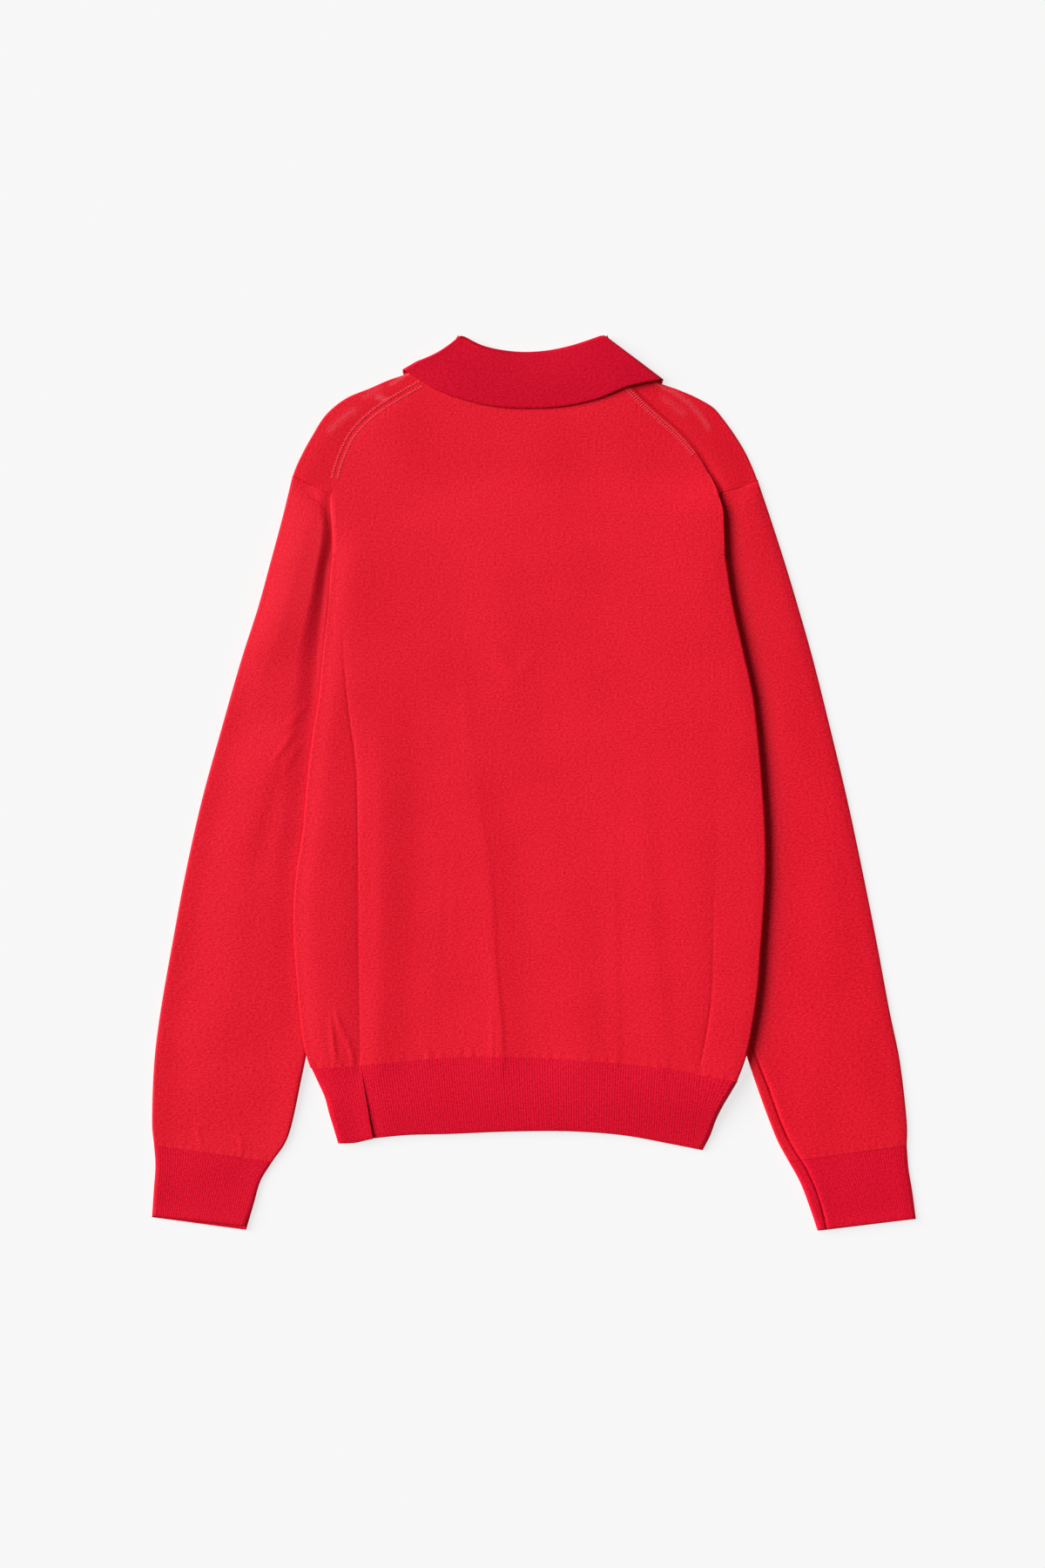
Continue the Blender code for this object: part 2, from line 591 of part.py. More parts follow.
def front_sections():
    """The front panel's rows below the armpits, from the right side seam beneath to the left one."""
    rows = []
    for y in spread(BODY_FOOT, ARMPIT_Y, 14):
        turn = SIDE_TURN + (ARMPIT_TURN - SIDE_TURN) * smooth((y - 140) / 50)
        row = []
        for side in (1, -1):
            fold, seam = body_fold[side](y), body_seam[side](y) + side * SEAM / 2
            inset = fold - side * turn
            on_top = [(x, math.pi / 2) for x in spread(seam, inset, 5)]
            round_fold = [(inset + side * turn * math.cos(a), a)
                          for a in spread(math.pi / 2, -math.pi / 2, 6)[1:-1]]
            part = []
            for x, angle in on_top + round_fold:
                at_y = y + hem_shift(x, y)
                level_at = x if angle == math.pi / 2 else inset
                bottom, top = underside(level_at, at_y), topside(level_at, at_y)
                part.append((x, at_y, (top + bottom) / 2 + (top - bottom) / 2 * math.sin(angle)))
            lower = []
            for share in FRONT_SHARES:
                x = inset + (zip_axis(y) + side * SLIT_HALF_WIDTH - inset) * share
                at_y = y + hem_shift(x, y)
                lower.append((x, at_y, underside(x, at_y)))
            row.append(part + lower)
        rows.append(row[0] + row[1][::-1])
    return rows


def front_upper_rows():
    """The front panel above the armpits: armholes, neck, and the shoulders folded to the back."""
    rows = []
    blank = [None] * SIDE_COLUMNS
    armhole = [(y, 0.0) for y in spread(ARMPIT_Y, SHOULDER_LOW, 4)[1:]]
    for y, up in armhole + [(SHOULDER_LOW, up) for up in (0.35, 0.7, 1.0)]:
        row = []
        for side in (1, -1):
            edge = yoke_edge[side](y) + side * FRONT_OVERHANG
            half = []
            for k, share in enumerate(FRONT_SHARES):
                x = edge + (zip_axis(y) + side * SLIT_HALF_WIDTH - edge) * share
                target = upper_target(side, k)
                point = np.array((x, y)) * (1 - up) + target * up
                half.append((point[0], point[1], underside(*point)))
            row.append(blank + half)
        rows.append(row[0] + row[1][::-1])
    for angle in spread(-math.pi / 2, math.pi / 2, 6)[1:]:
        rows.append(shoulder_row(angle, 0.0))
    for up in (0.35, 0.7, 1.0):
        rows.append(shoulder_row(math.pi / 2, up))
    return rows


def shoulder_share(k):
    """How far along the shoulder, from the armhole to the neck, a lengthwise line meets it."""
    return k / (SHOULDER_COUNT - 1)


def shoulder_inset(side, k):
    """A point just inside the shoulder's fold, and the way inwards from it."""
    share = shoulder_share(k)
    fold = shoulder_fold[side]
    run = fold(min(share + 0.02, 1.0)) - fold(max(share - 0.02, 0.0))
    inward = np.array((-run[1], run[0])) * side / np.linalg.norm(run)
    return fold(share) + inward * SHOULDER_TURN, inward


def upper_target(side, k):
    """Where a lengthwise line of the front panel ends: below the shoulder's fold or at the neck."""
    if k < SHOULDER_COUNT:
        return shoulder_inset(side, k)[0]
    count = len(FRONT_SHARES) - SHOULDER_COUNT
    return front_neck[side]((k - SHOULDER_COUNT + 1) / count)


def shoulder_seam(side, k):
    """The seam where the front's shoulder meets the back, from the armhole corner to the neck."""
    y = SHOULDER_LOW + (SHOULDER_HIGH - SHOULDER_LOW) * shoulder_share(k)
    return np.array((yoke_edge[side](y) + side * SEAM / 2, y))


def shoulder_row(angle, up):
    """One row round the shoulders' folds and over to their seams."""
    row = []
    for side in (1, -1):
        half = [None] * SIDE_COLUMNS
        for k in range(len(FRONT_SHARES)):
            if k >= SHOULDER_COUNT:
                half.append(None)
                continue
            inset, inward = shoulder_inset(side, k)
            point = inset - inward * SHOULDER_TURN * math.cos(angle)
            point = point * (1 - up) + shoulder_seam(side, k) * up
            around = inset if up == 0 else point
            bottom, top = underside(*around), topside(*around)
            height = (top + bottom) / 2 + (top - bottom) / 2 * math.sin(angle)
            half.append((point[0], point[1], height))
        row.append(half)
    return row[0] + row[1][::-1]


def make_front():
    """The front panel in one piece with its side and shoulder folds, and the zip's slit."""
    lower, upper = front_sections(), front_upper_rows()
    rows = lower + upper
    wide, half = len(rows[0]), SIDE_COLUMNS + len(FRONT_SHARES)
    slit = half - 1
    slit_row = next(r for r, row in enumerate(lower) if row[slit][1] > ZIP_BOTTOM_Y - 20)
    for at in (slit, slit + 1):
        x, _, z = rows[slit_row][at]
        rows[slit_row][at] = (x, ZIP_BOTTOM_Y - 1.0, z)
    armpit = len(lower) - 1
    neck = len(lower) + 5
    missing = [(r, slit) for r in range(slit_row, len(rows) - 1)]
    for r in range(armpit, len(rows) - 1):
        missing += [(r, c) for c in range(SIDE_COLUMNS)]
        missing += [(r, wide - 2 - c) for c in range(SIDE_COLUMNS)]
    for r in range(neck, len(rows) - 1):
        first = SIDE_COLUMNS + SHOULDER_COUNT - 1
        missing += [(r, c) for c in range(first, wide - 1 - first) if c != slit]
    wall("front", rows, WALL, RED["plain"], missing=missing)


# ---- hem bands ------------------------------------------------------------------------------

def hem_across(name, down):
    """Where a side or seam of the hem is: down goes from 0 at its top to 1 at its lower edge."""
    return column(HEM_COLUMNS, HEM, name, "down")(down)


def hem_point(x, down, angle=math.pi / 2, level_at=None):
    """A point of a hem band's outer face: its upper or lower layer, or the fold between."""
    y = hem_seam(x) - SEAM / 2 + (hem_edge(x) - hem_seam(x) + SEAM / 2) * down
    level_at = x if level_at is None else level_at
    bottom = underside(level_at, y)
    top = max(topside(level_at, y) + HEM_STEP, bottom + 2 * BAND_WALL + 0.5)
    return (x, y, (top + bottom) / 2 + (top - bottom) / 2 * math.sin(angle))


def make_hem_back():
    """The ribbed band below the back panel."""
    ribs = int((hem_across("seam_right", 0.5) - hem_across("seam_left", 0.5)) / RIB_PITCH)
    rows = []
    for down in HEM_DOWNS:
        left = hem_across("seam_left", down) + SEAM / 2
        right = hem_across("seam_right", down) - SEAM / 2
        rows.append([hem_point(x, down) for x in spread(left, right, 2 * ribs + 1)])
    wall("hem_back", rows, BAND_WALL, RED["rib"], raised=lambda r, c: RIB_RISE if c % 2 else 0.0)


def make_hem_front():
    """The ribbed band below the front panel, with its ends brought round to the side seams."""
    ends = ((1, "seam_right", "right"), (-1, "seam_left", "left"))
    ribs = {side: int(abs(hem_across(seam, 0.5) - hem_across(fold, 0.5)) / RIB_PITCH)
            for side, seam, fold in ends}
    rows = []
    for down in HEM_DOWNS:
        halves = []
        for side, seam, fold in ends:
            at_seam = hem_across(seam, down) + side * SEAM / 2
            inset = hem_across(fold, down) - side * HEM_TURN
            half = [hem_point(x, down) for x in spread(at_seam, inset, 2 * ribs[side] + 1)]
            for angle in spread(math.pi / 2, -math.pi / 2, 6)[1:]:
                half.append(hem_point(inset + side * HEM_TURN * math.cos(angle), down, angle, inset))
            half += [hem_point(x, down, -math.pi / 2) for x in spread(inset, HEM_MIDDLE_X, 8)[1:]]
            halves.append(half)
        rows.append(halves[0] + halves[1][-2::-1])
    wide = len(rows[0])

    def rib(r, c):
        from_seam = min(c, wide - 1 - c)
        count = ribs[1] if c < wide / 2 else ribs[-1]
        return RIB_RISE if from_seam < 2 * count and from_seam % 2 else 0.0

    wall("hem_front", rows, BAND_WALL, RED["rib"], raised=rib)


# ---- collar ---------------------------------------------------------------------------------

def collar_station(row):
    """Points down the collar at one station: up the stand's inside, over the fold, down the fall."""
    turn, seam_x, seam_y, fold_x, fold_y, edge_x, edge_y = row
    seam, fold, edge = np.array((seam_x, seam_y)), np.array((fold_x, fold_y)), np.array((edge_x, edge_y))
    angle = (turn - 0.5) * math.pi
    middle = math.exp(-((fold_x - NECK_X) / 34) ** 2)
    lift = COLLAR_LIFT - 0.9 * middle * turn
    stand_low, stand_high = 2 * COLLAR_FOLD, lift
    fall_low, fall_high = 0.0, lift + 2 * COLLAR_FOLD
    stand = (stand_low + stand_high) / 2 + (stand_high - stand_low) / 2 * math.sin(angle)
    fall = (fall_low + fall_high) / 2 + (fall_high - fall_low) / 2 * math.sin(angle)
    down_stand = (seam - fold) / np.linalg.norm(seam - fold)
    down_fall = (edge - fold) / np.linalg.norm(edge - fold)
    points = []
    for share in (0.0, 0.5, 1.0):
        plan = seam + (fold + down_stand * COLLAR_FOLD - seam) * share
        points.append((*plan, stand))
    for bend in spread(0, math.pi, 5)[1:-1]:
        towards = down_stand * (1 + math.cos(bend)) / 2 + down_fall * (1 - math.cos(bend)) / 2
        plan = fold + towards * COLLAR_FOLD * (1 - math.sin(bend))
        points.append((*plan, stand + (fall - stand) * (1 - math.cos(bend)) / 2))
    for share in (0.0, 0.33, 0.67, 1.0):
        plan = fold + down_fall * COLLAR_FOLD
        plan = plan + (edge - plan) * share
        points.append((*plan, fall))
    return points


def make_collar():
    """The folded collar, one wall from the zip's left round the neck to its right."""
    stations = []
    rows = [np.array(row, float) for row in COLLAR]
    for before, row, after in zip([None] + rows[:-1], rows, rows[1:] + [None]):
        if row[0] != 0.5:
            stations.append(collar_station(row))
            continue
        for angle in spread(-math.pi / 2, math.pi / 2, 7):
            rising = before[0] < after[0]
            turned = angle if rising else -angle
            part = row.copy()
            part[0] = 0.5 + turned / math.pi
            neighbour = before if (turned < 0) == rising else after
            for column_name, reach in COLLAR_TURN.items():
                first = COLLAR_COLUMNS.index(column_name)
                inward = neighbour[first:first + 2] - row[first:first + 2]
                inward /= np.linalg.norm(inward)
                part[first:first + 2] += inward * reach * (1 - math.cos(turned))
            stations.append(collar_station(part))
    columns = [list(points) for points in zip(*stations)]
    wall("collar", columns[::-1], COLLAR_WALL, RED["collar"])


# ---- zip ------------------------------------------------------------------------------------

def make_zip():
    """Closed zip behind the front's slit: two tapes, the chain, the slider and its pull."""
    stations = spread(ZIP_BOTTOM_Y + 0.6, ZIP_TOP_Y - 1.8, 12)
    for side, name in ((-1, "zip_tape_left"), (1, "zip_tape_right")):
        rows = []
        for y in stations:
            axis = zip_axis(y)
            across = spread(TAPE_INNER, TAPE_OUTER, 3)
            xs = [axis + side * distance for distance in across][::side]
            rows.append([(x, y, tape_level(y) + TAPE_WALL) for x in xs])
        wall(name, rows, TAPE_WALL, RED["tape"])
    rows = []
    for y in spread(ZIP_BOTTOM_Y + 0.6, SLIDER_LOW_Y + 3.1, 9):
        axis, level = zip_axis(y), tape_level(y) + TAPE_WALL / 2 + CHAIN_HEIGHT / 2
        rows.append([(axis - CHAIN_HALF_WIDTH, y, level), (axis + CHAIN_HALF_WIDTH, y, level)])
    wall("zip_chain", rows, CHAIN_HEIGHT, RED["teeth"], roughness=0.4)
    make_slider()
    make_pull()


def tape_level(y):
    """Underside of the tapes, which lie on the inside of the front panel."""
    return over_leaves(zip_axis(y), y, 0.3) + WALL + CLEAR


def slider_levels():
    """Heights of the slider's plates and of its bridge's hole."""
    lower_plate = BRIDGE_BAR + BRIDGE_HOLE
    middle = tape_level(ZIP_TOP_Y - SLIDER_LENGTH / 2) + TAPE_WALL / 2
    gap = CHAIN_HEIGHT / 2 + 0.3
    return lower_plate, middle - gap, middle + gap


def side_shape(name, outline, x, width, colour):
    """A flat outline seen from the side (Y, Z), pushed out across X."""
    mesh = bmesh.new()
    verts = [mesh.verts.new(Vector((x - width / 2, y, z)) * MM) for y, z in outline]
    face = mesh.faces.new(verts)
    pushed = bmesh.ops.extrude_face_region(mesh, geom=[face])["geom"]
    bmesh.ops.translate(mesh, vec=(width * MM, 0, 0),
                        verts=[v for v in pushed if isinstance(v, bmesh.types.BMVert)])
    return add_object(name, mesh, colour, roughness=0.3, metallic=1.0)


def make_slider():
    """Two plates joined by a wedge past the chain's end, with a bridge that holds the pull."""
    plate_low, slot_low, slot_high = slider_levels()
    x = zip_axis(SLIDER_LOW_Y)
    wedge_y, bridge_top_y = SLIDER_TOP_Y - SLIDER_WEDGE, SLIDER_TOP_Y - 2.0
    plates = side_shape("zip_slider", [
        (SLIDER_LOW_Y, plate_low), (SLIDER_TOP_Y, plate_low), (SLIDER_TOP_Y, slot_high + PLATE),
        (SLIDER_LOW_Y, slot_high + PLATE), (SLIDER_LOW_Y, slot_high), (wedge_y, slot_high),
        (wedge_y, slot_low), (SLIDER_LOW_Y, slot_low)], x, SLIDER_WIDTH, STEEL)
    sunk = plate_low + PLATE / 4
    bridge = side_shape("bridge", [
        (BRIDGE_LOW_Y, 0.0), (bridge_top_y, 0.0), (bridge_top_y, sunk), (bridge_top_y - BRIDGE_LEG, sunk),
        (bridge_top_y - BRIDGE_LEG, BRIDGE_BAR), (BRIDGE_LOW_Y + BRIDGE_LEG, BRIDGE_BAR),
        (BRIDGE_LOW_Y + BRIDGE_LEG, sunk), (BRIDGE_LOW_Y, sunk)], x, BRIDGE_WIDTH, STEEL)
    join = plates.modifiers.new("bridge", "BOOLEAN")
    join.operation = "UNION"
    join.solver = "EXACT"
    join.object = bridge
    bridge.hide_render = True
    bridge.display_type = "WIRE"


def make_pull():
    """A flat tab with an eye round the slider's bridge, lying with its tip on the surface."""
    axis = (zip_axis(SLIDER_LOW_Y), BRIDGE_LOW_Y + BRIDGE_LEG + 0.85, BRIDGE_BAR + BRIDGE_HOLE / 2)
    lengths = (PULL_BAR, -PULL_BAR, -PULL_BAR - PULL_EYE_LENGTH, -0.75 * PULL_LENGTH, PULL_BAR - PULL_LENGTH)
    widths = (PULL_WIDTH - 0.8, PULL_WIDTH, PULL_WIDTH, PULL_WIDTH, PULL_WIDTH * 0.62)
    tilt = math.asin((axis[2] - PULL_THICK / 2) / PULL_LENGTH)
    rows = []
    for along, width in reversed(list(zip(lengths, widths))):
        half_eye = PULL_EYE_WIDTH / 2 * width / PULL_WIDTH
        rows.append([(x, along * math.cos(tilt) - PULL_THICK / 2 * math.sin(tilt),
                      along * math.sin(tilt) + PULL_THICK / 2 * math.cos(tilt))
                     for x in (-width / 2, -half_eye, half_eye, width / 2)])
    wall("zip_pull", rows, PULL_THICK, STEEL, missing=[(2, 1)], roughness=0.3, metallic=1.0, place=axis)


# ---- the garment ----------------------------------------------------------------------------

for leftover in list(bpy.data.objects):
    bpy.data.objects.remove(leftover, do_unlink=True)

for which, label in ((-1, "left"), (1, "right")):
    make_sleeve(which, f"sleeve_{label}")
    make_cuff(which, f"cuff_{label}")
make_front()
make_back()
make_hem_front()
make_hem_back()
make_collar()
make_zip()
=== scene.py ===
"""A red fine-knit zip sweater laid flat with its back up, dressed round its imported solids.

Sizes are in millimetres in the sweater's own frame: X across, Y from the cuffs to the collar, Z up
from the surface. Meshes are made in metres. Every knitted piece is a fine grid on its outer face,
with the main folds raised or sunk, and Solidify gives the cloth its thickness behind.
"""
import math

import bmesh
import bpy
import numpy as np
from mathutils import Matrix, Vector


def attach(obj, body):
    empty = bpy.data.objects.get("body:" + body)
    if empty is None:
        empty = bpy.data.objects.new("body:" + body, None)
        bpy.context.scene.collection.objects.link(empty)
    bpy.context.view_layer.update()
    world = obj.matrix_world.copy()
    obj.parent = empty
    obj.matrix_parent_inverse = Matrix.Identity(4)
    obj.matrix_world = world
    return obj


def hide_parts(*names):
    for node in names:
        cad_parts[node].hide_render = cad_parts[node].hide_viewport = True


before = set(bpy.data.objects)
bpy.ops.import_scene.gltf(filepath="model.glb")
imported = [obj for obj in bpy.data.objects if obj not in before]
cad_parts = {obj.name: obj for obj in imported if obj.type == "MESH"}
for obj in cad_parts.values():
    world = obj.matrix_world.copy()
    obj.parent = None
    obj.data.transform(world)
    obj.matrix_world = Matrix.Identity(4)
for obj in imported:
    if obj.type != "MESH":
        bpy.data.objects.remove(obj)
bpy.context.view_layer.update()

MM = 0.001
UP = math.pi / 2

# ---- cloth and zip sizes --------------------------------------------------------------------

WALL = 1.2                 # plain knit
BAND_WALL = 1.7            # ribbed hem and cuffs
COLLAR_WALL = 1.8
SEAM = 0.35                # space between the sizes of pieces at a seam
BUTT = 0.02                # half the space left between the dressed pieces there
TUCK, TUCK_DEPTH = 1.0, 1.25       # seam allowance turned under the next piece
ARMHOLE_TUCK = 2.6
SHARP_ANGLE = 48           # degrees past which an edge of the cloth is shaded sharp
CLEAR = 0.4                # space between layers that lie on each other

TWO_LAYERS = 3.6           # height of two layers lying on each other
SLEEVE_TOP = 4.4           # height of a sleeve at its folded edges
OVER_SLEEVE = 5.0          # underside of the body where it lies on a sleeve
AIR_SHARE = 0.8            # share of that height that the springy back keeps between the sleeves
DRAPE, TOP_DRAPE = 28.0, 110.0     # how far the front and the back take to come down beside it
HEM_LOW, HEM_FADE = -330.0, 60.0   # the layers come together at the hem: Y, and over what length
# How much of the lift over a sleeve comes in below the armpit: share, from which Y, and over what
# length.
ARMPIT_LIFT = {-1: ((0.7, 240, 44), (0.3, 197, 10)), 1: ((0.55, 240, 44), (0.45, 180, 30))}
LEAF_REACH, TOP_LEAF_REACH = 0.3, 1.0      # how softly they come down beside the collar's leaves
ZIP_SWELL, ZIP_SWELL_WIDTH = 0.5, 52.0     # swelling over the zip, and more over its slider
SLIDER_SWELL, SLIDER_SWELL_WIDTH, SLIDER_SWELL_LENGTH = 0.5, 42.0, 44.0

# The back's height, as how much and how wide.
RIGHT_STAND, STAND_WIDTH = 4.4, 330.0      # it stands up towards its right side
STAND_TOP, STAND_TOP_FADE = 272, 42        # from below this Y, over this length
STAND_LOW, STAND_LOW_FADE = -310, 60
EDGE_DIP = {-1: (1.7, 11), 1: (0.35, 6)}   # its edges come down again
DIP_TOP, DIP_TOP_FADE = 232, 46
SHOULDER_DROP = {-1: (0.7, 8), 1: (1.3, 15)}       # so do the folds of its shoulders
EDGE_RISE, EDGE_RISE_WIDTH = 0.5, 22       # its right edge stands up along the armhole
YOKE_SINK, YOKE_SINK_WIDTH = 1.0, 7        # and the yoke beyond it sinks
NECK_DIP, NECK_DIP_X, NECK_DIP_Y = 0.9, 40, 26     # it sinks at the neck
# Its edges curl down to the sleeves along the armholes: width, height they reach, top Y and fade.
CURL = {-1: (3.0, 5.2, 268, 14), 1: (1.2, 4.6, 252, 8)}
BESIDE_YOKE = 0.3          # how much higher it lies where it passes over the yoke's edge

RIB_PITCH = 2.2
RIB_RISE = 0.22
RIB_POINTS = 4             # columns for each rib

ZIP_BOTTOM_X, ZIP_BOTTOM_Y = -14.0, 106.0
ZIP_TOP_X, ZIP_TOP_Y = -4.0, 266.0
SLIT_HALF_WIDTH = 5.2
TAPE_WALL = 1.0
TOOTH_PITCH, TOOTH_OFFSET, TOOTH_BEVEL = 2.5, 0.85, 0.28
TOOTH = (2.6, 1.05, 1.4)

TUBE_TURN = 2.2            # depth of a sleeve's folded edges
CUFF_TURN, CUFF_TOP = 3.2, 4.7
CUFF_LIP = {-1: 3.0, 1: 1.0}       # how far the lower layer shows beyond the upper one
CUFF_TILT = {-1: -0.4, 1: 1.0}     # how much higher the upper layer lies towards its inner edge
SIDE_TURN = {-1: 2.4, 1: 1.8}      # depth of the body's folded sides
SHOULDER_TURN = 1.8
HEM_TURN = 4.0
HEM_STEP = 0.1             # how far the hem's upper layer stands over the plain knit
HEM_MIDDLE_X = -12.0
HEM_SPLAY, HEM_SPLAY_WIDTH = 1.4, 10       # the front hem's left end stands up at its lower corner
HEM_SINK, HEM_SINK_WIDTH = 1.0, 7          # and the back hem's corner beside it sinks
COLLAR_FOLD = 2.1          # half the height of the folded collar, and the reach of its fold
COLLAR_LIFT = 4.5          # underside of the collar's back
COLLAR_DIP, COLLAR_DIP_WIDTH = 0.9, 34     # it sinks at the middle
COLLAR_TURN = {"seam_x": 0.8, "fold_x": 1.6, "edge_x": 4.4}     # reach of its turns at the sides
COLLAR_TIP = {-1: -0.96, 1: 1.2}           # how far its fall stands up or sinks at its corners
COLLAR_TIP_WIDTH = 32
COLLAR_FALL, COLLAR_STAND = 48, 14         # their lengths, for the stitches

# ---- the garment's outline ------------------------------------------------------------------

BODY_COLUMNS = ("y", "left", "right", "seam_left", "seam_right")
BODY = (
    (196, -173.9, 164.6, -169.9, 157.9),
    (155, -177.7, 171.0, -168.2, 156.6),
    (115, -181.7, 179.9, -164.4, 154.8),
    (75, -185.6, 188.5, -161.0, 154.1),
    (35, -191.8, 193.3, -156.8, 154.3),
    (-5, -196.2, 196.7, -153.5, 155.0),
    (-45, -199.8, 199.1, -151.8, 155.7),
    (-80, -205.2, 199.2, -151.0, 155.3),
    (-110, -207.3, 197.6, -150.8, 154.2),
    (-140, -206.7, 195.3, -150.6, 152.3),
    (-170, -204.3, 193.2, -150.4, 150.8),
    (-205, -201.5, 188.5, -150.4, 149.0),
    (-235, -196.1, 182.3, -150.4, 145.6),
    (-260, -187.0, 173.4, -149.0, 142.4),
)
YOKE_COLUMNS = ("y", "left", "right")
YOKE = (
    (196, -169.9, 157.9),
    (222, -172.6, 156.9),
    (249, -175.3, 156.0),
    (267, -173.0, 150.0),
    (285, -167.0, 139.2),
    (303, -157.4, 123.2),
    (321, -139.0, 102.6),
    (339, -111.0, 84.0),
    (357, -78.0, 70.0),
)
NECK_DROP = 17.0
SHOULDER_FOLD = {
    -1: ((-208.1, 264.8), (-206.6, 269.4), (-199.9, 284.2), (-191.6, 299.2), (-178.9, 318.4),
         (-162.4, 331.6), (-141.4, 340.4), (-124.5, 347.6), (-111.0, 352.2), (-98.0, 358.4),
         (-83.0, 365.4)),
    1: ((193.1, 259.5), (189.4, 269.2), (182.6, 284.2), (173.6, 299.2), (163.1, 313.8),
        (155.6, 322.8), (142.1, 331.2), (123.6, 339.2), (108.5, 344.6), (94.0, 352.4),
        (79.0, 361.4)),
}
ARMPIT_Y = 196.0
BODY_FOOT = -236.0
SHOULDER_LOW, SHOULDER_HIGH = 249.0, 357.0
ARMHOLE_CORNER = {-1: (-175.3, SHOULDER_LOW), 1: (156.0, SHOULDER_LOW)}
FRONT_OVERHANG = 0.3
FRONT_NECK = {
    -1: ((-81.0, 365.0), (-76.0, 340.0), (-66.0, 314.0), (-46.0, 286.0), (-9.4, 268.4)),
    1: ((77.0, 361.0), (70.0, 338.0), (59.0, 312.0), (39.0, 285.0), (1.4, 268.4)),
}
PLACE_COLUMNS = ("x", "y")
HEM_SEAM = (
    (-193.9, -245.2), (-153.4, -243.4), (-141.4, -241.9), (-103.9, -238.5), (-60.4, -235.5),
    (-25.9, -235.3), (19.9, -237.0), (82.1, -241.9), (122.6, -246.5), (144.4, -251.2),
    (177.5, -257.2),
)
HEM_EDGE = (
    (-169.1, -310.5), (-154.1, -309.8), (-141.4, -306.8), (-118.1, -303.8), (-73.1, -302.2),
    (-19.1, -300.0), (34.9, -300.0), (79.9, -303.8), (115.9, -310.5), (145.5, -316.4),
)
HEM_COLUMNS = ("down", "left", "right", "seam_left", "seam_right")
HEM = (
    (0.0, -192.0, 174.9, -148.6, 143.0),
    (0.2, -186.0, 168.5, -146.8, 141.8),
    (0.4, -180.3, 161.8, -144.9, 140.6),
    (0.6, -176.9, 156.2, -142.7, 139.4),
    (0.8, -172.9, 151.8, -140.8, 138.2),
    (1.0, -169.1, 145.3, -138.6, 137.0),
)
TUBE_COLUMNS = ("outer_x", "outer_y", "inner_x", "inner_y", "rise", "inner_rise", "bend")
SLEEVE = {
    -1: (
        (-327.9, -311.6, -225.8, -326.4, 3.9, 4.4, 0),
        (-329.6, -290.0, -211.6, -303.0, 3.7, 4.4, 0),
        (-327.6, -240.0, -200.4, -254.0, 3.5, 4.4, 0),
        (-322.0, -195.0, -191.3, -209.0, 3.5, 4.3, 0),
        (-311.5, -135.0, -180.0, -149.0, 3.5, 4.2, 0),
        (-300.2, -75.0, -171.0, -89.0, 3.5, 4.2, 0),
        (-286.7, -15.0, -163.8, -29.0, 3.5, 4.2, 0),
        (-270.2, 45.0, -158.3, 31.0, 3.5, 4.2, 0),
        (-252.9, 105.0, -160.5, 88.0, 3.5, 4.1, 0.05),
        (-238.4, 150.0, -167.0, 126.0, 3.5, 3.9, 0.15),
        (-227.4, 190.0, -171.5, 156.0, 3.5, 3.5, 0.35),
        (-217.0, 229.0, -173.2, 178.0, 3.6, 3.2, 0.65),
        (-208.6, 264.2, -171.7, 195.4, 3.7, 3.0, 1.0),
    ),
    1: (
        (321.4, -312.0, 219.2, -326.0, 3.9, 4.4, 0),
        (321.2, -290.0, 207.4, -303.0, 3.7, 4.4, 0),
        (315.4, -240.0, 189.4, -254.0, 3.5, 4.4, 0),
        (306.2, -195.0, 175.7, -209.0, 3.5, 4.3, 0),
        (295.0, -135.0, 164.0, -149.0, 3.5, 4.2, 0),
        (283.0, -75.0, 156.4, -89.0, 3.5, 4.2, 0),
        (270.2, -15.0, 150.4, -29.0, 3.5, 4.2, 0),
        (255.9, 45.0, 146.2, 31.0, 3.5, 4.2, 0),
        (240.9, 105.0, 147.5, 88.0, 3.5, 4.1, 0.05),
        (228.2, 150.0, 154.5, 126.0, 3.5, 3.9, 0.15),
        (216.2, 190.0, 159.5, 156.0, 3.5, 3.5, 0.35),
        (203.6, 229.0, 161.5, 178.0, 3.6, 3.2, 0.65),
        (193.5, 258.9, 160.0, 195.4, 3.7, 3.0, 1.0),
    ),
}
CUFF = {
    -1: (
        (-329.6, -374.2, -248.4, -385.2, 4.2, 4.6, 0),
        (-328.0, -350.0, -241.6, -362.0, 4.3, 4.7, 0),
        (-326.6, -330.0, -236.0, -343.0, 4.3, 4.7, 0),
        (-327.8, -312.0, -226.3, -326.9, 4.0, 4.5, 0),
    ),
    1: (
        (329.2, -375.7, 244.4, -386.0, 4.2, 4.6, 0),
        (326.2, -353.0, 236.6, -363.0, 4.3, 4.7, 0),
        (322.8, -332.0, 229.2, -344.0, 4.3, 4.7, 0),
        (321.3, -312.4, 219.7, -326.5, 4.0, 4.5, 0),
    ),
}
COLLAR_COLUMNS = ("turn", "seam_x", "seam_y", "fold_x", "fold_y", "edge_x", "edge_y")
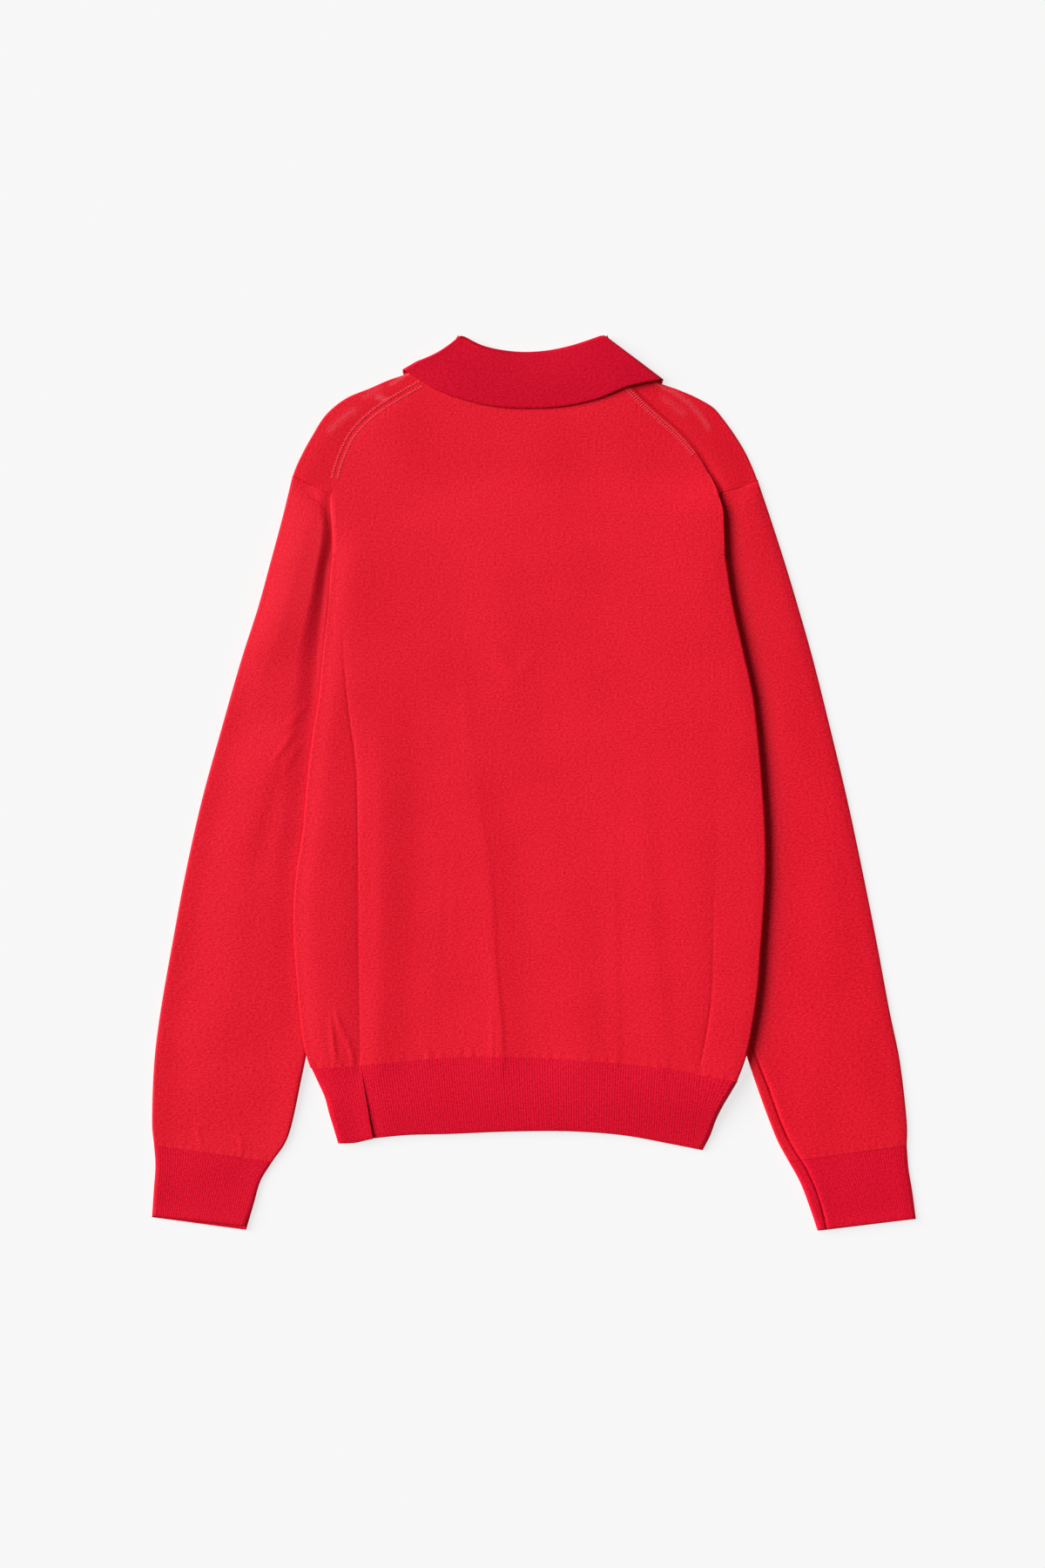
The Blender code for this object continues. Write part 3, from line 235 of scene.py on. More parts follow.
COLLAR = (
    (0.0, -9.6, 269.2, -10.4, 297.0, -38.0, 239.0),
    (0.0, -29.0, 278.6, -24.0, 301.5, -58.0, 249.0),
    (0.0, -48.0, 293.2, -37.0, 312.0, -80.0, 270.0),
    (0.0, -64.4, 315.0, -48.0, 330.0, -98.0, 300.0),
    (0.0, -74.0, 340.0, -56.0, 356.0, -108.0, 330.0),
    (0.5, -79.0, 361.5, -62.6, 385.9, -113.6, 356.4),
    (1.0, -66.0, 352.9, -48.0, 378.2, -86.0, 339.4),
    (1.0, -46.0, 346.4, -35.0, 374.2, -56.0, 328.6),
    (1.0, -24.0, 342.4, -19.0, 371.8, -28.0, 323.4),
    (1.0, -4.0, 341.2, -4.0, 371.3, 0.0, 322.4),
    (1.0, 16.0, 342.4, 12.0, 372.6, 26.0, 324.2),
    (1.0, 38.0, 346.4, 29.0, 376.0, 54.0, 330.4),
    (1.0, 58.0, 353.4, 46.0, 381.2, 84.0, 342.0),
    (0.5, 72.4, 361.0, 60.0, 386.2, 111.4, 347.6),
    (0.0, 67.6, 338.0, 52.0, 356.0, 104.0, 325.0),
    (0.0, 57.2, 313.6, 43.0, 330.0, 92.0, 296.0),
    (0.0, 40.4, 292.2, 31.0, 312.0, 74.0, 268.0),
    (0.0, 21.0, 278.2, 17.0, 301.5, 51.0, 248.0),
    (0.0, 1.6, 269.2, 2.4, 297.0, 31.0, 239.0),
)
NECK_X, NECK_Y = -3.0, 352.0
LEAF_HALF_WIDTH, LEAF_DEPTH = 118.0, 126.0

# ---- folds and creases ----------------------------------------------------------------------

# Each crease is a path down the cloth, its rise along that path (below 0 for a trough), how far it
# spreads to its left and right, and how soft it is: 2 is round, 1 has a sharp crest.
BODY_CREASES = {
    "middle_fold": (((-61, 106), (-56, 43), (-50, -15), (-41, -45), (-36, -102), (-32, -164),
                     (-27, -240)), (0, 0.25, 0.5, 0.65, 0.7, 0.7, 0.6), 26, 15, 2),
    "fold_step": (((-52, 25), (-47, -22), (-41, -52), (-37, -91), (-34, -151), (-29, -205),
                   (-27, -240)), (0, 0.12, 0.26, 0.36, 0.44, 0.55, 0.55), 9, 2.6, 2),
    "fold_lead": (((-62, 110), (-58, 60), (-54, 15)), (0, 0.16, 0), 5, 4, 2),
    "side_swell": (((-136, 70), (-131, -9), (-131, -86), (-132, -164), (-135, -244)),
                   (0, 0.5, 0.8, 0.8, 0.6), 9, 14, 2),
    "left_trough": (((-106, 110), (-104, 43), (-102, -9), (-102, -86), (-104, -164), (-108, -240)),
                    (0, -0.2, -0.35, -0.35, -0.3, -0.2), 11, 14, 2),
    "streak": (((-77, -30), (-80, -98), (-84, -180)), (0, 0.1, 0), 4, 2.0, 2),
    "streak_2": (((-66, -60), (-70, -120), (-72, -170)), (0, 0.1, 0), 3, 2.0, 2),
    "right_thin": (((66, 17), (69, -76), (71, -160), (72, -240)), (0, 0.1, 0.2, 0.22), 8, 2.0, 2),
    "mid_right": (((32, -70), (38, -140), (42, -240)), (0, 0.35, 0.4), 25, 18, 2),
    "right_soft": (((92, 60), (94, -40), (102, -136), (111, -240)), (0, 0.4, 0.45, 0.35), 20, 9, 2),
    "side_pucker": (((-175, -198), (-173, -216), (-170, -240)), (0, 0.7, 0.4), 3.0, 1.2, 2),
    "seam_pucker": (((-171, -190), (-167, -208), (-160, -222), (-155, -236)), (0, 0.7, 0.7, 0.4),
                    2.5, 1.2, 2),
    "small_pucker": (((-159, -216), (-156, -238)), (0, 0.3), 2, 1.2, 2),
    "fold_pucker": (((-36, -186), (-36, -240)), (0, 0.15, 0.3), 3, 1.4, 2),
    "hem_pucker": (((-93, -214), (-91, -240)), (0, 0.2), 3, 2, 2),
    "zip_end": (((-38, 128), (-17, 93), (9, 122)), (0, 0.38, 0), 7, 6, 2),
    "left_side_seam": (((-166, 160), (-161, 74), (-153, 8), (-152, -36), (-151, -164),
                        (-150, -246)), (0, -0.5, -0.8, -0.9, -0.9, -0.8), 11, 7, 1.3),
    "left_seam_line": (((-167, 150), (-161, 74), (-153, 8), (-152, -36), (-151, -164),
                        (-150, -242)), (0, -0.3, -0.35, -0.25, -0.2, -0.2), 1.1, 0.9, 1.3),
    "right_side_seam": (((156, 130), (154, 43), (156, -61), (154, -112), (151, -195), (143, -248)),
                        (0, -0.1, -0.15, -0.3, -0.45, -0.4), 9, 13, 1.3),
    "right_seam_line": (((155, -60), (154, -112), (151, -195), (143, -242)), (0, -0.15, -0.4, -0.4),
                        1.0, 1.0, 1.2),
    "under_left_shoulder": (((-96, 342), (-116, 331), (-141, 316), (-160, 296), (-171, 270)),
                            (0, -0.4, -0.5, -0.4, 0), 7, 5, 1.5),
    "under_right_shoulder": (((80, 336), (101, 320), (122, 301), (138, 284)), (0, -0.3, -0.3, 0),
                             5, 6, 1.5),
}
SLEEVE_CREASES = {
    "elbow_crease": (((-196, 66), (-209, 52), (-223, 41)), (0.5, 0.6, 0), 2.4, 1.4, 1.5),
    "elbow_crease_2": (((-201, 50), (-214, 33), (-228, 13)), (0, 0.65, 0), 2.6, 1.4, 1.5),
    "elbow_crease_3": (((-197, 36), (-207, 24), (-216, 6)), (0, 0.5, 0), 2.6, 1.4, 1.5),
    "elbow_valley": (((-212, 22), (-228, -31), (-247, -98)), (-0.2, -0.5, 0), 8, 9, 2),
    "forearm": (((-284, -160), (-297, -170), (-309, -184)), (0, 0.3, 0), 4, 2.5, 2),
    "left_cuff_pucker": (((-287, -292), (-289, -304), (-285, -314)), (0, 0.4, 0.3), 2.0, 1.2, 1.5),
    "left_cuff_pucker_2": (((-256, -298), (-252, -310), (-252, -320)), (0, 0.45, 0.35), 2.0, 1.2,
                           1.5),
}
# How far the left sleeve puffs up beside the body and how far it dips again right at its edge.
PUFF_COLUMNS = ("y", "puff", "dip")
PUFF = ((265, 0.6, 0.2), (250, 2.2, 1.2), (225, 4.8, 3.3), (179, 6.6, 4.2), (134, 6.2, 3.6),
        (89, 4.8, 2.4), (37, 3.5, 1.5), (-38, 2.6, 0.9), (-140, 2.2, 0.4), (-226, 1.8, 0.3),
        (-300, 0, 0))
# How far the back's right edge stands up along the armhole, against Y.
ARMHOLE_STAND = ((196, 0), (210, 0.2), (225, 0.6), (249, 1.2), (270, 1.1), (285, 0.6), (298, 0),
                 (312, 0))
# How far the back's edges reach out over the sleeves along the armholes, against Y.
REACH_COLUMNS = ("y", "left", "right")
REACH = ((196, 4.0, 6.7), (214, 2.7, 6.9), (235, 1.2, 6.2), (246, 0.4, 3.6), (257, 0, 1.2),
         (268, 0, 0))
# The right sleeve's upper layer ends along this path; left of it only the lower layer shows.
LEDGE = ((181, -206), (191, -235), (203, -265), (213, -293), (222, -312), (234, -331), (245, -356),
         (253, -390))
LEDGE_DEPTH, LEDGE_WIDTH = 1.9, 0.8
LEDGE_RISE, LEDGE_RISE_WIDTH = 0.35, 5     # the upper layer beside it

# Paler, pinker places on the shoulders' colour: path, strength, half width.
PALE_PLACES = (
    (((-107, 354), (-123, 343.5)), 0.9, 1.5),
    (((-127, 329), (-135, 333)), 0.9, 2.1),
    (((-134, 340), (-146, 333)), 0.35, 2.5),
    (((-156, 321), (-166, 314), (-176, 304)), 0.45, 2.8),
    (((106, 344), (120, 337), (133, 328), (143, 317), (150, 306)), 0.5, 2.2),
    (((112, 331), (128, 319)), 0.3, 3.0),
)

# Mean colours of the dyed yarn in each knit.
RED = {"plain": (0.825, 0.0040, 0.0235), "rib": (0.74, 0.0030, 0.0250),
       "collar": (0.665, 0.0018, 0.0225)}
PALE_RED = (0.84, 0.085, 0.115)
TAPE_DARK, TAPE_LIGHT = (0.42, 0.003, 0.014), (0.62, 0.01, 0.03)
STITCH_RED = (0.98, 0.06, 0.09)
STITCH_LIFT, STITCH_HEIGHT = 0.18, 0.5
STITCH_SIDES, STITCH_BANDS = 8, 4          # a stitch's faces round it and from top to bottom
# Rows of sewing stitches along the shoulder seams: side, from and to which Y, distance inside the
# seam, spacing, length, width and slant against the seam in degrees.
SEWING = (
    (-1, 346, 262, -0.1, 2.4, 3.2, 1.5, 48),
    (-1, 346, 262, 4.8, 2.4, 3.2, 1.5, 48),
    (1, 342, 284, 1.0, 2.1, 2.3, 1.2, 6),
    (1, 342, 284, 3.4, 2.1, 3.8, 1.15, 80),
)


# ---- reading the tables ---------------------------------------------------------------------

def smooth(t):
    """0 at and below 0, 1 at and above 1, with a soft start and end."""
    t = np.clip(t, 0.0, 1.0)
    return t * t * (3 - 2 * t)


def mound(distance, width):
    """1 in the middle, softly falling to 0 over about twice a width to either side."""
    return np.exp(-(distance / width) ** 2)


def curve(places, values):
    """A smooth function through the values at rising places, held level beyond both ends."""
    order = np.argsort(places)
    places, values = np.asarray(places, float)[order], np.asarray(values, float)[order]
    slopes = np.gradient(values, places)

    def value(at):
        at = np.clip(at, places[0], places[-1])
        k = np.clip(np.searchsorted(places, at) - 1, 0, len(places) - 2)
        step = places[k + 1] - places[k]
        t = (at - places[k]) / step
        eased = t * t * (3 - 2 * t)
        bend = step * t * (1 - t) * (slopes[k] * (1 - t) - slopes[k + 1] * t)
        return values[k] + (values[k + 1] - values[k]) * eased + bend

    return value


def column(names, rows, name, against):
    """A table's column as a smooth function of another of its columns."""
    at, of = names.index(against), names.index(name)
    return curve([row[at] for row in rows], [row[of] for row in rows])


def line(points):
    """A smooth line through points in the plan, read by its share of the whole length."""
    points = np.asarray(points, float)
    steps = np.hypot(*np.diff(points, axis=0).T)
    shares = np.concatenate([[0], np.cumsum(steps)]) / steps.sum()
    in_x, in_y = curve(shares, points[:, 0]), curve(shares, points[:, 1])
    return lambda share: np.stack([in_x(share), in_y(share)], axis=-1)


def finer(points, count):
    """A path with more points on its smooth line."""
    return line(points)(np.linspace(0, 1, count))


def beside(path, x, y):
    """How far places lie from a path, and their share along it.

    The distance is above 0 to the right of a path that runs down.
    """
    path = np.asarray(path, float)
    lengths = np.hypot(*np.diff(path, axis=0).T)
    before = np.concatenate([[0], np.cumsum(lengths)])
    nearest = np.full(np.shape(x), 1e9)
    signed, share = np.zeros(np.shape(x)), np.zeros(np.shape(x))
    for k, run in enumerate(np.diff(path, axis=0)):
        t = np.clip(((x - path[k, 0]) * run[0] + (y - path[k, 1]) * run[1]) / (run @ run), 0, 1)
        off_x, off_y = x - path[k, 0] - run[0] * t, y - path[k, 1] - run[1] * t
        away = np.hypot(off_x, off_y)
        closer = away < nearest
        nearest = np.where(closer, away, nearest)
        to_right = run[0] * off_y - run[1] * off_x > 0
        signed = np.where(closer, np.where(to_right, away, -away), signed)
        share = np.where(closer, (before[k] + t * lengths[k]) / before[-1], share)
    return signed, share


def both_sides(names, rows, before=""):
    """A table's columns for the left and the right side, against Y."""
    return {side: column(names, rows, before + name, "y")
            for side, name in ((-1, "left"), (1, "right"))}


body_fold, body_seam = both_sides(BODY_COLUMNS, BODY), both_sides(BODY_COLUMNS, BODY, "seam_")
yoke_edge, armhole_reach = both_sides(YOKE_COLUMNS, YOKE), both_sides(REACH_COLUMNS, REACH)
shoulder_fold = {side: line(points) for side, points in SHOULDER_FOLD.items()}
front_neck = {side: line(points) for side, points in FRONT_NECK.items()}
hem_seam = column(PLACE_COLUMNS, HEM_SEAM, "y", "x")
hem_edge = column(PLACE_COLUMNS, HEM_EDGE, "y", "x")
sleeve_inner = {side: column(TUBE_COLUMNS, rows, "inner_x", "inner_y")
                for side, rows in SLEEVE.items()}


def zip_axis(y):
    """Where the zip's middle runs."""
    share = np.clip((y - ZIP_BOTTOM_Y) / (ZIP_TOP_Y - ZIP_BOTTOM_Y), 0, 1)
    return ZIP_BOTTOM_X + (ZIP_TOP_X - ZIP_BOTTOM_X) * share


# ---- how high the layers lie ----------------------------------------------------------------

def above_hem(y):
    """Below 1 towards the hem, where the layers come together."""
    return smooth((y - HEM_LOW) / HEM_FADE)


def over_sleeves(x, y):
    """How far the front is lifted by the sleeves beneath its sides."""
    lift = 0.0
    for side, inner in sleeve_inner.items():
        beyond = side * (inner(y) - x)
        near_armpit = sum(share * smooth((start - y) / length)
                          for share, start, length in ARMPIT_LIFT[side])
        lift = lift + OVER_SLEEVE * smooth(1 - beyond / DRAPE) * near_armpit * above_hem(y)
    return lift


def leaf_share(x, y):
    """Below 1 over the collar's front leaves."""
    return np.hypot((x - NECK_X) / LEAF_HALF_WIDTH, (y - NECK_Y) / LEAF_DEPTH)


def over_leaves(x, y, reach):
    """How far the body is lifted by the collar's front leaves."""
    return (COLLAR_WALL + CLEAR) * smooth((1.0 + reach - leaf_share(x, y)) / reach)


def underside(x, y):
    """Lower face of the front panel: level on the surface, raised over what lies beneath."""
    return np.maximum(over_sleeves(x, y), over_leaves(x, y, LEAF_REACH))


def zip_swell(x, y):
    """The very soft swelling over the zip below."""
    along = smooth((y - ZIP_BOTTOM_Y + 40) / 60) * smooth((ZIP_TOP_Y + 60 - y) / 60)
    across = x - zip_axis(y)
    down = (y - ZIP_TOP_Y + 4) / SLIDER_SWELL_LENGTH
    at_slider = SLIDER_SWELL * np.exp(-(across / SLIDER_SWELL_WIDTH) ** 2 - down ** 2)
    return ZIP_SWELL * along * mound(across, ZIP_SWELL_WIDTH) + at_slider


SHOULDER_LINE = {side: finer(points, 24) for side, points in SHOULDER_FOLD.items()}
armhole_stand = curve(*zip(*ARMHOLE_STAND))
sleeve_puff = column(PUFF_COLUMNS, PUFF, "puff", "y")
sleeve_dip = column(PUFF_COLUMNS, PUFF, "dip", "y")


def edge_curve(name):
    """The back's outline on one side, from the hem over the armhole to the shoulder."""
    rows = [(row[0], row[BODY_COLUMNS.index(name)]) for row in BODY]
    for row in YOKE[1:]:
        reach = float(armhole_reach[1](row[0])) if name == "right" else 0.0
        rows.append((row[0], row[YOKE_COLUMNS.index(name)] + reach))
    return curve(*zip(*rows))


body_edge = {-1: edge_curve("left"), 1: edge_curve("right")}


def body_lift(x, y):
    """How far the upper layer lies above the height of two layers, on sleeves, leaves and air."""
    near = np.zeros(np.shape(x))
    for side, inner in sleeve_inner.items():
        near = np.maximum(near, smooth(1 - side * (inner(y) - x) / TOP_DRAPE))
    lift = OVER_SLEEVE * (AIR_SHARE + (1 - AIR_SHARE) * near)
    lift = lift * smooth((300 - y) / 120) * above_hem(y)
    return (lift ** 4 + over_leaves(x, y, TOP_LEAF_REACH) ** 4) ** 0.25


def topside(x, y):
    """Upper face of the back before its creases."""
    x, y = np.asarray(x, float), np.asarray(y, float)
    from_left, from_right = x - body_edge[-1](y), body_edge[1](y) - x
    on_yoke = smooth(-from_right / 5) * smooth((y - ARMPIT_Y) / 20)
    height = TWO_LAYERS + body_lift(x, y) * (1 - 0.5 * on_yoke) + zip_swell(x, y)
    stand = smooth((STAND_TOP - y) / STAND_TOP_FADE) * smooth((y - STAND_LOW) / STAND_LOW_FADE)
    height = height + RIGHT_STAND * stand * smooth(1 - from_right / STAND_WIDTH) * (1 - on_yoke)
    for side, inwards in ((1, from_right), (-1, np.maximum(from_left, 0))):
        dip, width = EDGE_DIP[side]
        height = height - dip * mound(inwards, width) * smooth((DIP_TOP - y) / DIP_TOP_FADE)
    height = height + armhole_stand(y) * np.where(
        from_right > 0, EDGE_RISE * mound(from_right, EDGE_RISE_WIDTH),
        -YOKE_SINK * mound(from_right, YOKE_SINK_WIDTH))
    for side, (drop, width) in SHOULDER_DROP.items():
        height = height - drop * mound(beside(SHOULDER_LINE[side], x, y)[0], width)
    across, down = (x - NECK_X) / NECK_DIP_X, (y - NECK_Y) / NECK_DIP_Y
    return height - NECK_DIP * np.exp(-across ** 2 - down ** 2)


def creases(table, x, y):
    """Height of a table's folds and troughs."""
    height = np.zeros(np.shape(x))
    for path, rises, left, right, softness in table.values():
        across, along = beside(finer(path, 4 * len(path)), x, y)
        rise = curve(np.linspace(0, 1, len(rises)), rises)(along)
        height += rise * np.exp(-np.abs(across / np.where(across < 0, left, right)) ** softness)
    return height


def unevenness(x, y, amount, seed):
    """Broad, very low waves, as knit never lies quite flat."""
    dice = np.random.default_rng(seed)
    height = np.zeros(np.shape(x))
    for _ in range(9):
        length, heading, start = dice.uniform(45, 130), dice.uniform(0, math.pi), dice.uniform(0, 7)
        phase = (x * math.cos(heading) + y * math.sin(heading)) * 2 * math.pi / length + start
        height += np.sin(phase) * amount / 3
    return height


def gathers(along, above, seed):
    """Small uneven puckers where the plain knit runs into a rib; above is the distance from it."""
    dice = np.random.default_rng(seed)
    height = np.zeros(np.shape(along))
    for _ in range(5):
        length, start = dice.uniform(5, 13), dice.uniform(0, 7)
        height += np.sin(along * 2 * math.pi / length + start) * dice.uniform(0.03, 0.08)
    return height * np.exp(-(above / 5.0) ** 2)


def body_relief(x, y):
    """All that stands out of the back and the sides that are folded over to it."""
    seam = hem_seam(x)
    puckers = gathers(x, np.maximum(y - seam, 0), 4) * (y > seam)
    return creases(BODY_CREASES, x, y) + unevenness(x, y, 0.16, 2) + puckers


def rounded(distance, width, drop):
    """How far cloth curls down within a width of its edge."""
    share = 1 - np.clip(distance / width, 0, 1)
    return drop * (1 - np.sqrt(1 - share ** 2))


# ---- making a knitted piece -----------------------------------------------------------------

def knitted(name, points, marks, thickness, material, replaces, slit=None, tube=False, pale=None,
            columns=None):
    """A piece of cloth from a grid of points on its outer face.

    marks are the stitch coordinates in mm, across and along the knit. Cells with a missing corner
    are left open, and slit is a row and a column of cells that is open from that row upwards. pale
    is how much paler the colour is in places, and columns how strongly the painted shade between
    the knit's lines shows.
    """
    tall, wide = points.shape[:2]
    shape = bmesh.new()
    bmesh.ops.create_grid(shape, x_segments=wide - 1, y_segments=tall - 1, size=1)
    mesh = bpy.data.meshes.new(name)
    shape.to_mesh(mesh)
    shape.free()
    mesh.vertices.foreach_set("co", (np.nan_to_num(points) * MM).ravel())
    corners = np.empty(len(mesh.loops), int)
    mesh.loops.foreach_get("vertex_index", corners)
    knit = mesh.uv_layers.new(name="Knit")
    knit.data.foreach_set("uv", (np.nan_to_num(marks).reshape(-1, 2)[corners] * MM).ravel())
    for attribute, values in (("Paleness", pale), ("LineShade", columns)):
        layer = mesh.attributes.new(attribute, "FLOAT", "POINT")
        layer.data.foreach_set("value", np.zeros(tall * wide) if values is None else values.ravel())
    shape = bmesh.new()
    shape.from_mesh(mesh)
    shape.faces.ensure_lookup_table()
    blank = np.isnan(points[..., 0])
    empty = blank[1:, 1:] | blank[1:, :-1] | blank[:-1, 1:] | blank[:-1, :-1]
    if slit:
        empty[slit[0]:, slit[1]] = True
    doomed = [shape.faces[k] for k in np.flatnonzero(empty.ravel())]
    bmesh.ops.delete(shape, geom=doomed, context="FACES")
    if tube:
        bmesh.ops.remove_doubles(shape, verts=shape.verts, dist=1e-6)
    shape.to_mesh(mesh)
    shape.free()
    mesh.shade_smooth()
    mesh.materials.append(material)
    piece = bpy.data.objects.new(name, mesh)
    bpy.context.collection.objects.link(piece)
    behind = piece.modifiers.new("Thickness", "SOLIDIFY")
    behind.thickness, behind.offset = thickness * MM, -1
    graph = bpy.context.evaluated_depsgraph_get()
    piece.data = bpy.data.meshes.new_from_object(piece.evaluated_get(graph))
    piece.modifiers.clear()
    piece.data.set_sharp_from_angle(angle=math.radians(SHARP_ANGLE))
    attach(piece, "garment")
    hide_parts(*replaces)
    return piece


def crowded(count, start, end, closer):
    """Shares from 0 to 1 that are closer together from start to end."""
    even = np.linspace(0, 1, 4001)
    crowd = np.cumsum(np.where((even > start) & (even < end), closer, 1.0))
    return np.interp(np.linspace(0, 1, count), (crowd - crowd[0]) / (crowd[-1] - crowd[0]), even)


def spaced(shares, length, fine=0.7):
    """Shares from 0 to 1 with a close pair at both ends, for a softly rounded edge."""
    near = np.array([0, fine * 0.4, fine]) / length
    return np.concatenate([near, shares[1:-1], 1 - near[::-1]])


def tucked(points, marks, turn=1.0, reach=TUCK):
    """The same rows with a seam allowance behind the last one, turned under the next piece."""
    border = points[-1, :, :2]
    run = np.gradient(border, axis=0)
    away = np.stack([-run[:, 1], run[:, 0]], axis=-1)
    away = away / np.maximum(np.linalg.norm(away, axis=-1, keepdims=True), 1e-9)
    onward = border - points[-5, :, :2]
    away = away * np.where((away * onward).sum(axis=-1) < 0, -1.0, 1.0)[:, None]
    away = np.where((np.linalg.norm(run, axis=-1) < 0.02)[:, None], 0, away)
    under = np.column_stack([border + away * reach, points[-1, :, 2] - TUCK_DEPTH * turn])
    more = 2 * marks[-1] - marks[-2]
    return np.concatenate([points, under[None]]), np.concatenate([marks, more[None]])


# ---- back -----------------------------------------------------------------------------------

def hem_shift(x, y):
    """Moves the lowest rows of the body so that they follow the hem's seam."""
    return (hem_seam(x) + BUTT - BODY_FOOT) * smooth((-120 - y) / 116)


def shifted(edge, y):
    """Where a lengthwise edge of the body is once its lowest rows have moved to the hem's seam."""
    return edge(y + hem_shift(edge(y), y))


def make_back(material):
    """The back panel, from the hem's seam to the neck."""
    heights = np.concatenate([[BODY_FOOT, BODY_FOOT + 0.4, BODY_FOOT + 1],
                              np.linspace(BODY_FOOT, ARMPIT_Y, 148)[1:],
                              np.linspace(ARMPIT_Y + 0.4, SHOULDER_HIGH, 58)])
    y = heights[:, None]
    left = np.where(y < ARMPIT_Y, shifted(body_seam[-1], y), yoke_edge[-1](y)) + BUTT
    right = np.where(y < ARMPIT_Y, shifted(body_seam[1], y), yoke_edge[1](y)) - BUTT
    left = left - np.where(y > ARMPIT_Y, armhole_reach[-1](y), 0)
    right = right + np.where(y > ARMPIT_Y, armhole_reach[1](y), 0)
    share = spaced(crowded(180, 0.28, 0.44, 2.3), 310, 1.2)[None, :]
    x = left + (right - left) * share
    sag = NECK_DROP * smooth((y - 262) / 95)
    bowed = y - sag * (1 - (2 * share - 1) ** 2) + hem_shift(x, y)
    z = topside(x, bowed) + body_relief(x, bowed)
    for side, inwards in ((-1, x - left), (1, right - x)):
        width, foot, top, fade = CURL[side]
        curl = 1 - np.sin(UP * np.clip(inwards / width, 0, 1))
        by_armhole = smooth((y - ARMPIT_Y) / 6) * smooth((top - y) / fade)
        z = z - np.maximum(z - foot, 0) * curl * by_armhole
    z = z + BESIDE_YOKE * smooth(x - yoke_edge[1](y)) * smooth((y - 240) / 10)
    points = np.stack([x, bowed, z], axis=-1)
    return knitted("back_panel", points, points[..., :2], WALL, material, ["back"])


# ---- front ----------------------------------------------------------------------------------

SHOULDER_LINES = 74        # lengthwise lines of each half that run up to the shoulder
NECK_LINES = 12
SIDE_TOP_LINES = 34
FOLD_LINES = 10


def fold_over(x, y, level_x, level_y, angle, relief):
    """A point round a fold: on the upper layer at a quarter turn up, beneath at one down."""
    bottom, top = underside(level_x, level_y), topside(level_x, level_y) + relief
    return np.stack([x, y, (top + bottom) / 2 + (top - bottom) / 2 * np.sin(angle)], axis=-1)


def front_below_armpits(y):
    """The front's rows from the right side seam round beneath to the left one."""
    halves = []
    for side in (1, -1):
        turn = SIDE_TURN[side]
        fold, seam = shifted(body_fold[side], y), shifted(body_seam[side], y) + side * BUTT
        inset = fold - side * turn
        share = np.concatenate([[0, 0.008, 0.025], np.linspace(0, 1, SIDE_TOP_LINES - 1)[1:]])
        share = share[None, :]
        x = seam + (inset - seam) * share
        at_y = y + hem_shift(x, y)
        top = fold_over(x, at_y, x, at_y, UP, body_relief(x, at_y))
        angle = np.linspace(UP, -UP, FOLD_LINES + 2)[None, 1:-1]
        x = inset + side * turn * np.cos(angle)
        at_y = y + hem_shift(x, y)
        level = inset + 0 * angle
        round_fold = fold_over(x, at_y, level, at_y, angle, body_relief(level, at_y))
        x = inset + (zip_axis(y) + side * SLIT_HALF_WIDTH - inset) * front_shares()[None, :]
        at_y = y + hem_shift(x, y)
        beneath = np.stack([x, at_y, underside(x, at_y)], axis=-1)
        half = np.concatenate([top, round_fold, beneath], axis=1)
        halves.append(half if side > 0 else half[:, ::-1])
    return np.concatenate(halves, axis=1)


def front_shares():
    """How the lengthwise lines are shared from the side to the slit."""
    to_shoulder = np.linspace(0, 0.5, SHOULDER_LINES)
    return np.concatenate([to_shoulder, np.linspace(0.5, 1, NECK_LINES + 1)[1:]])


def shoulder_inset(side, share):
    """Points just inside the shoulder's fold, and the way inwards from it."""
    fold = shoulder_fold[side]
    run = fold(np.minimum(share + 0.02, 1.0)) - fold(np.maximum(share - 0.02, 0.0))
    inward = np.stack([-run[:, 1], run[:, 0]], axis=-1) * side
    inward /= np.hypot(*inward.T)[:, None]
    return fold(share) + inward * SHOULDER_TURN, inward


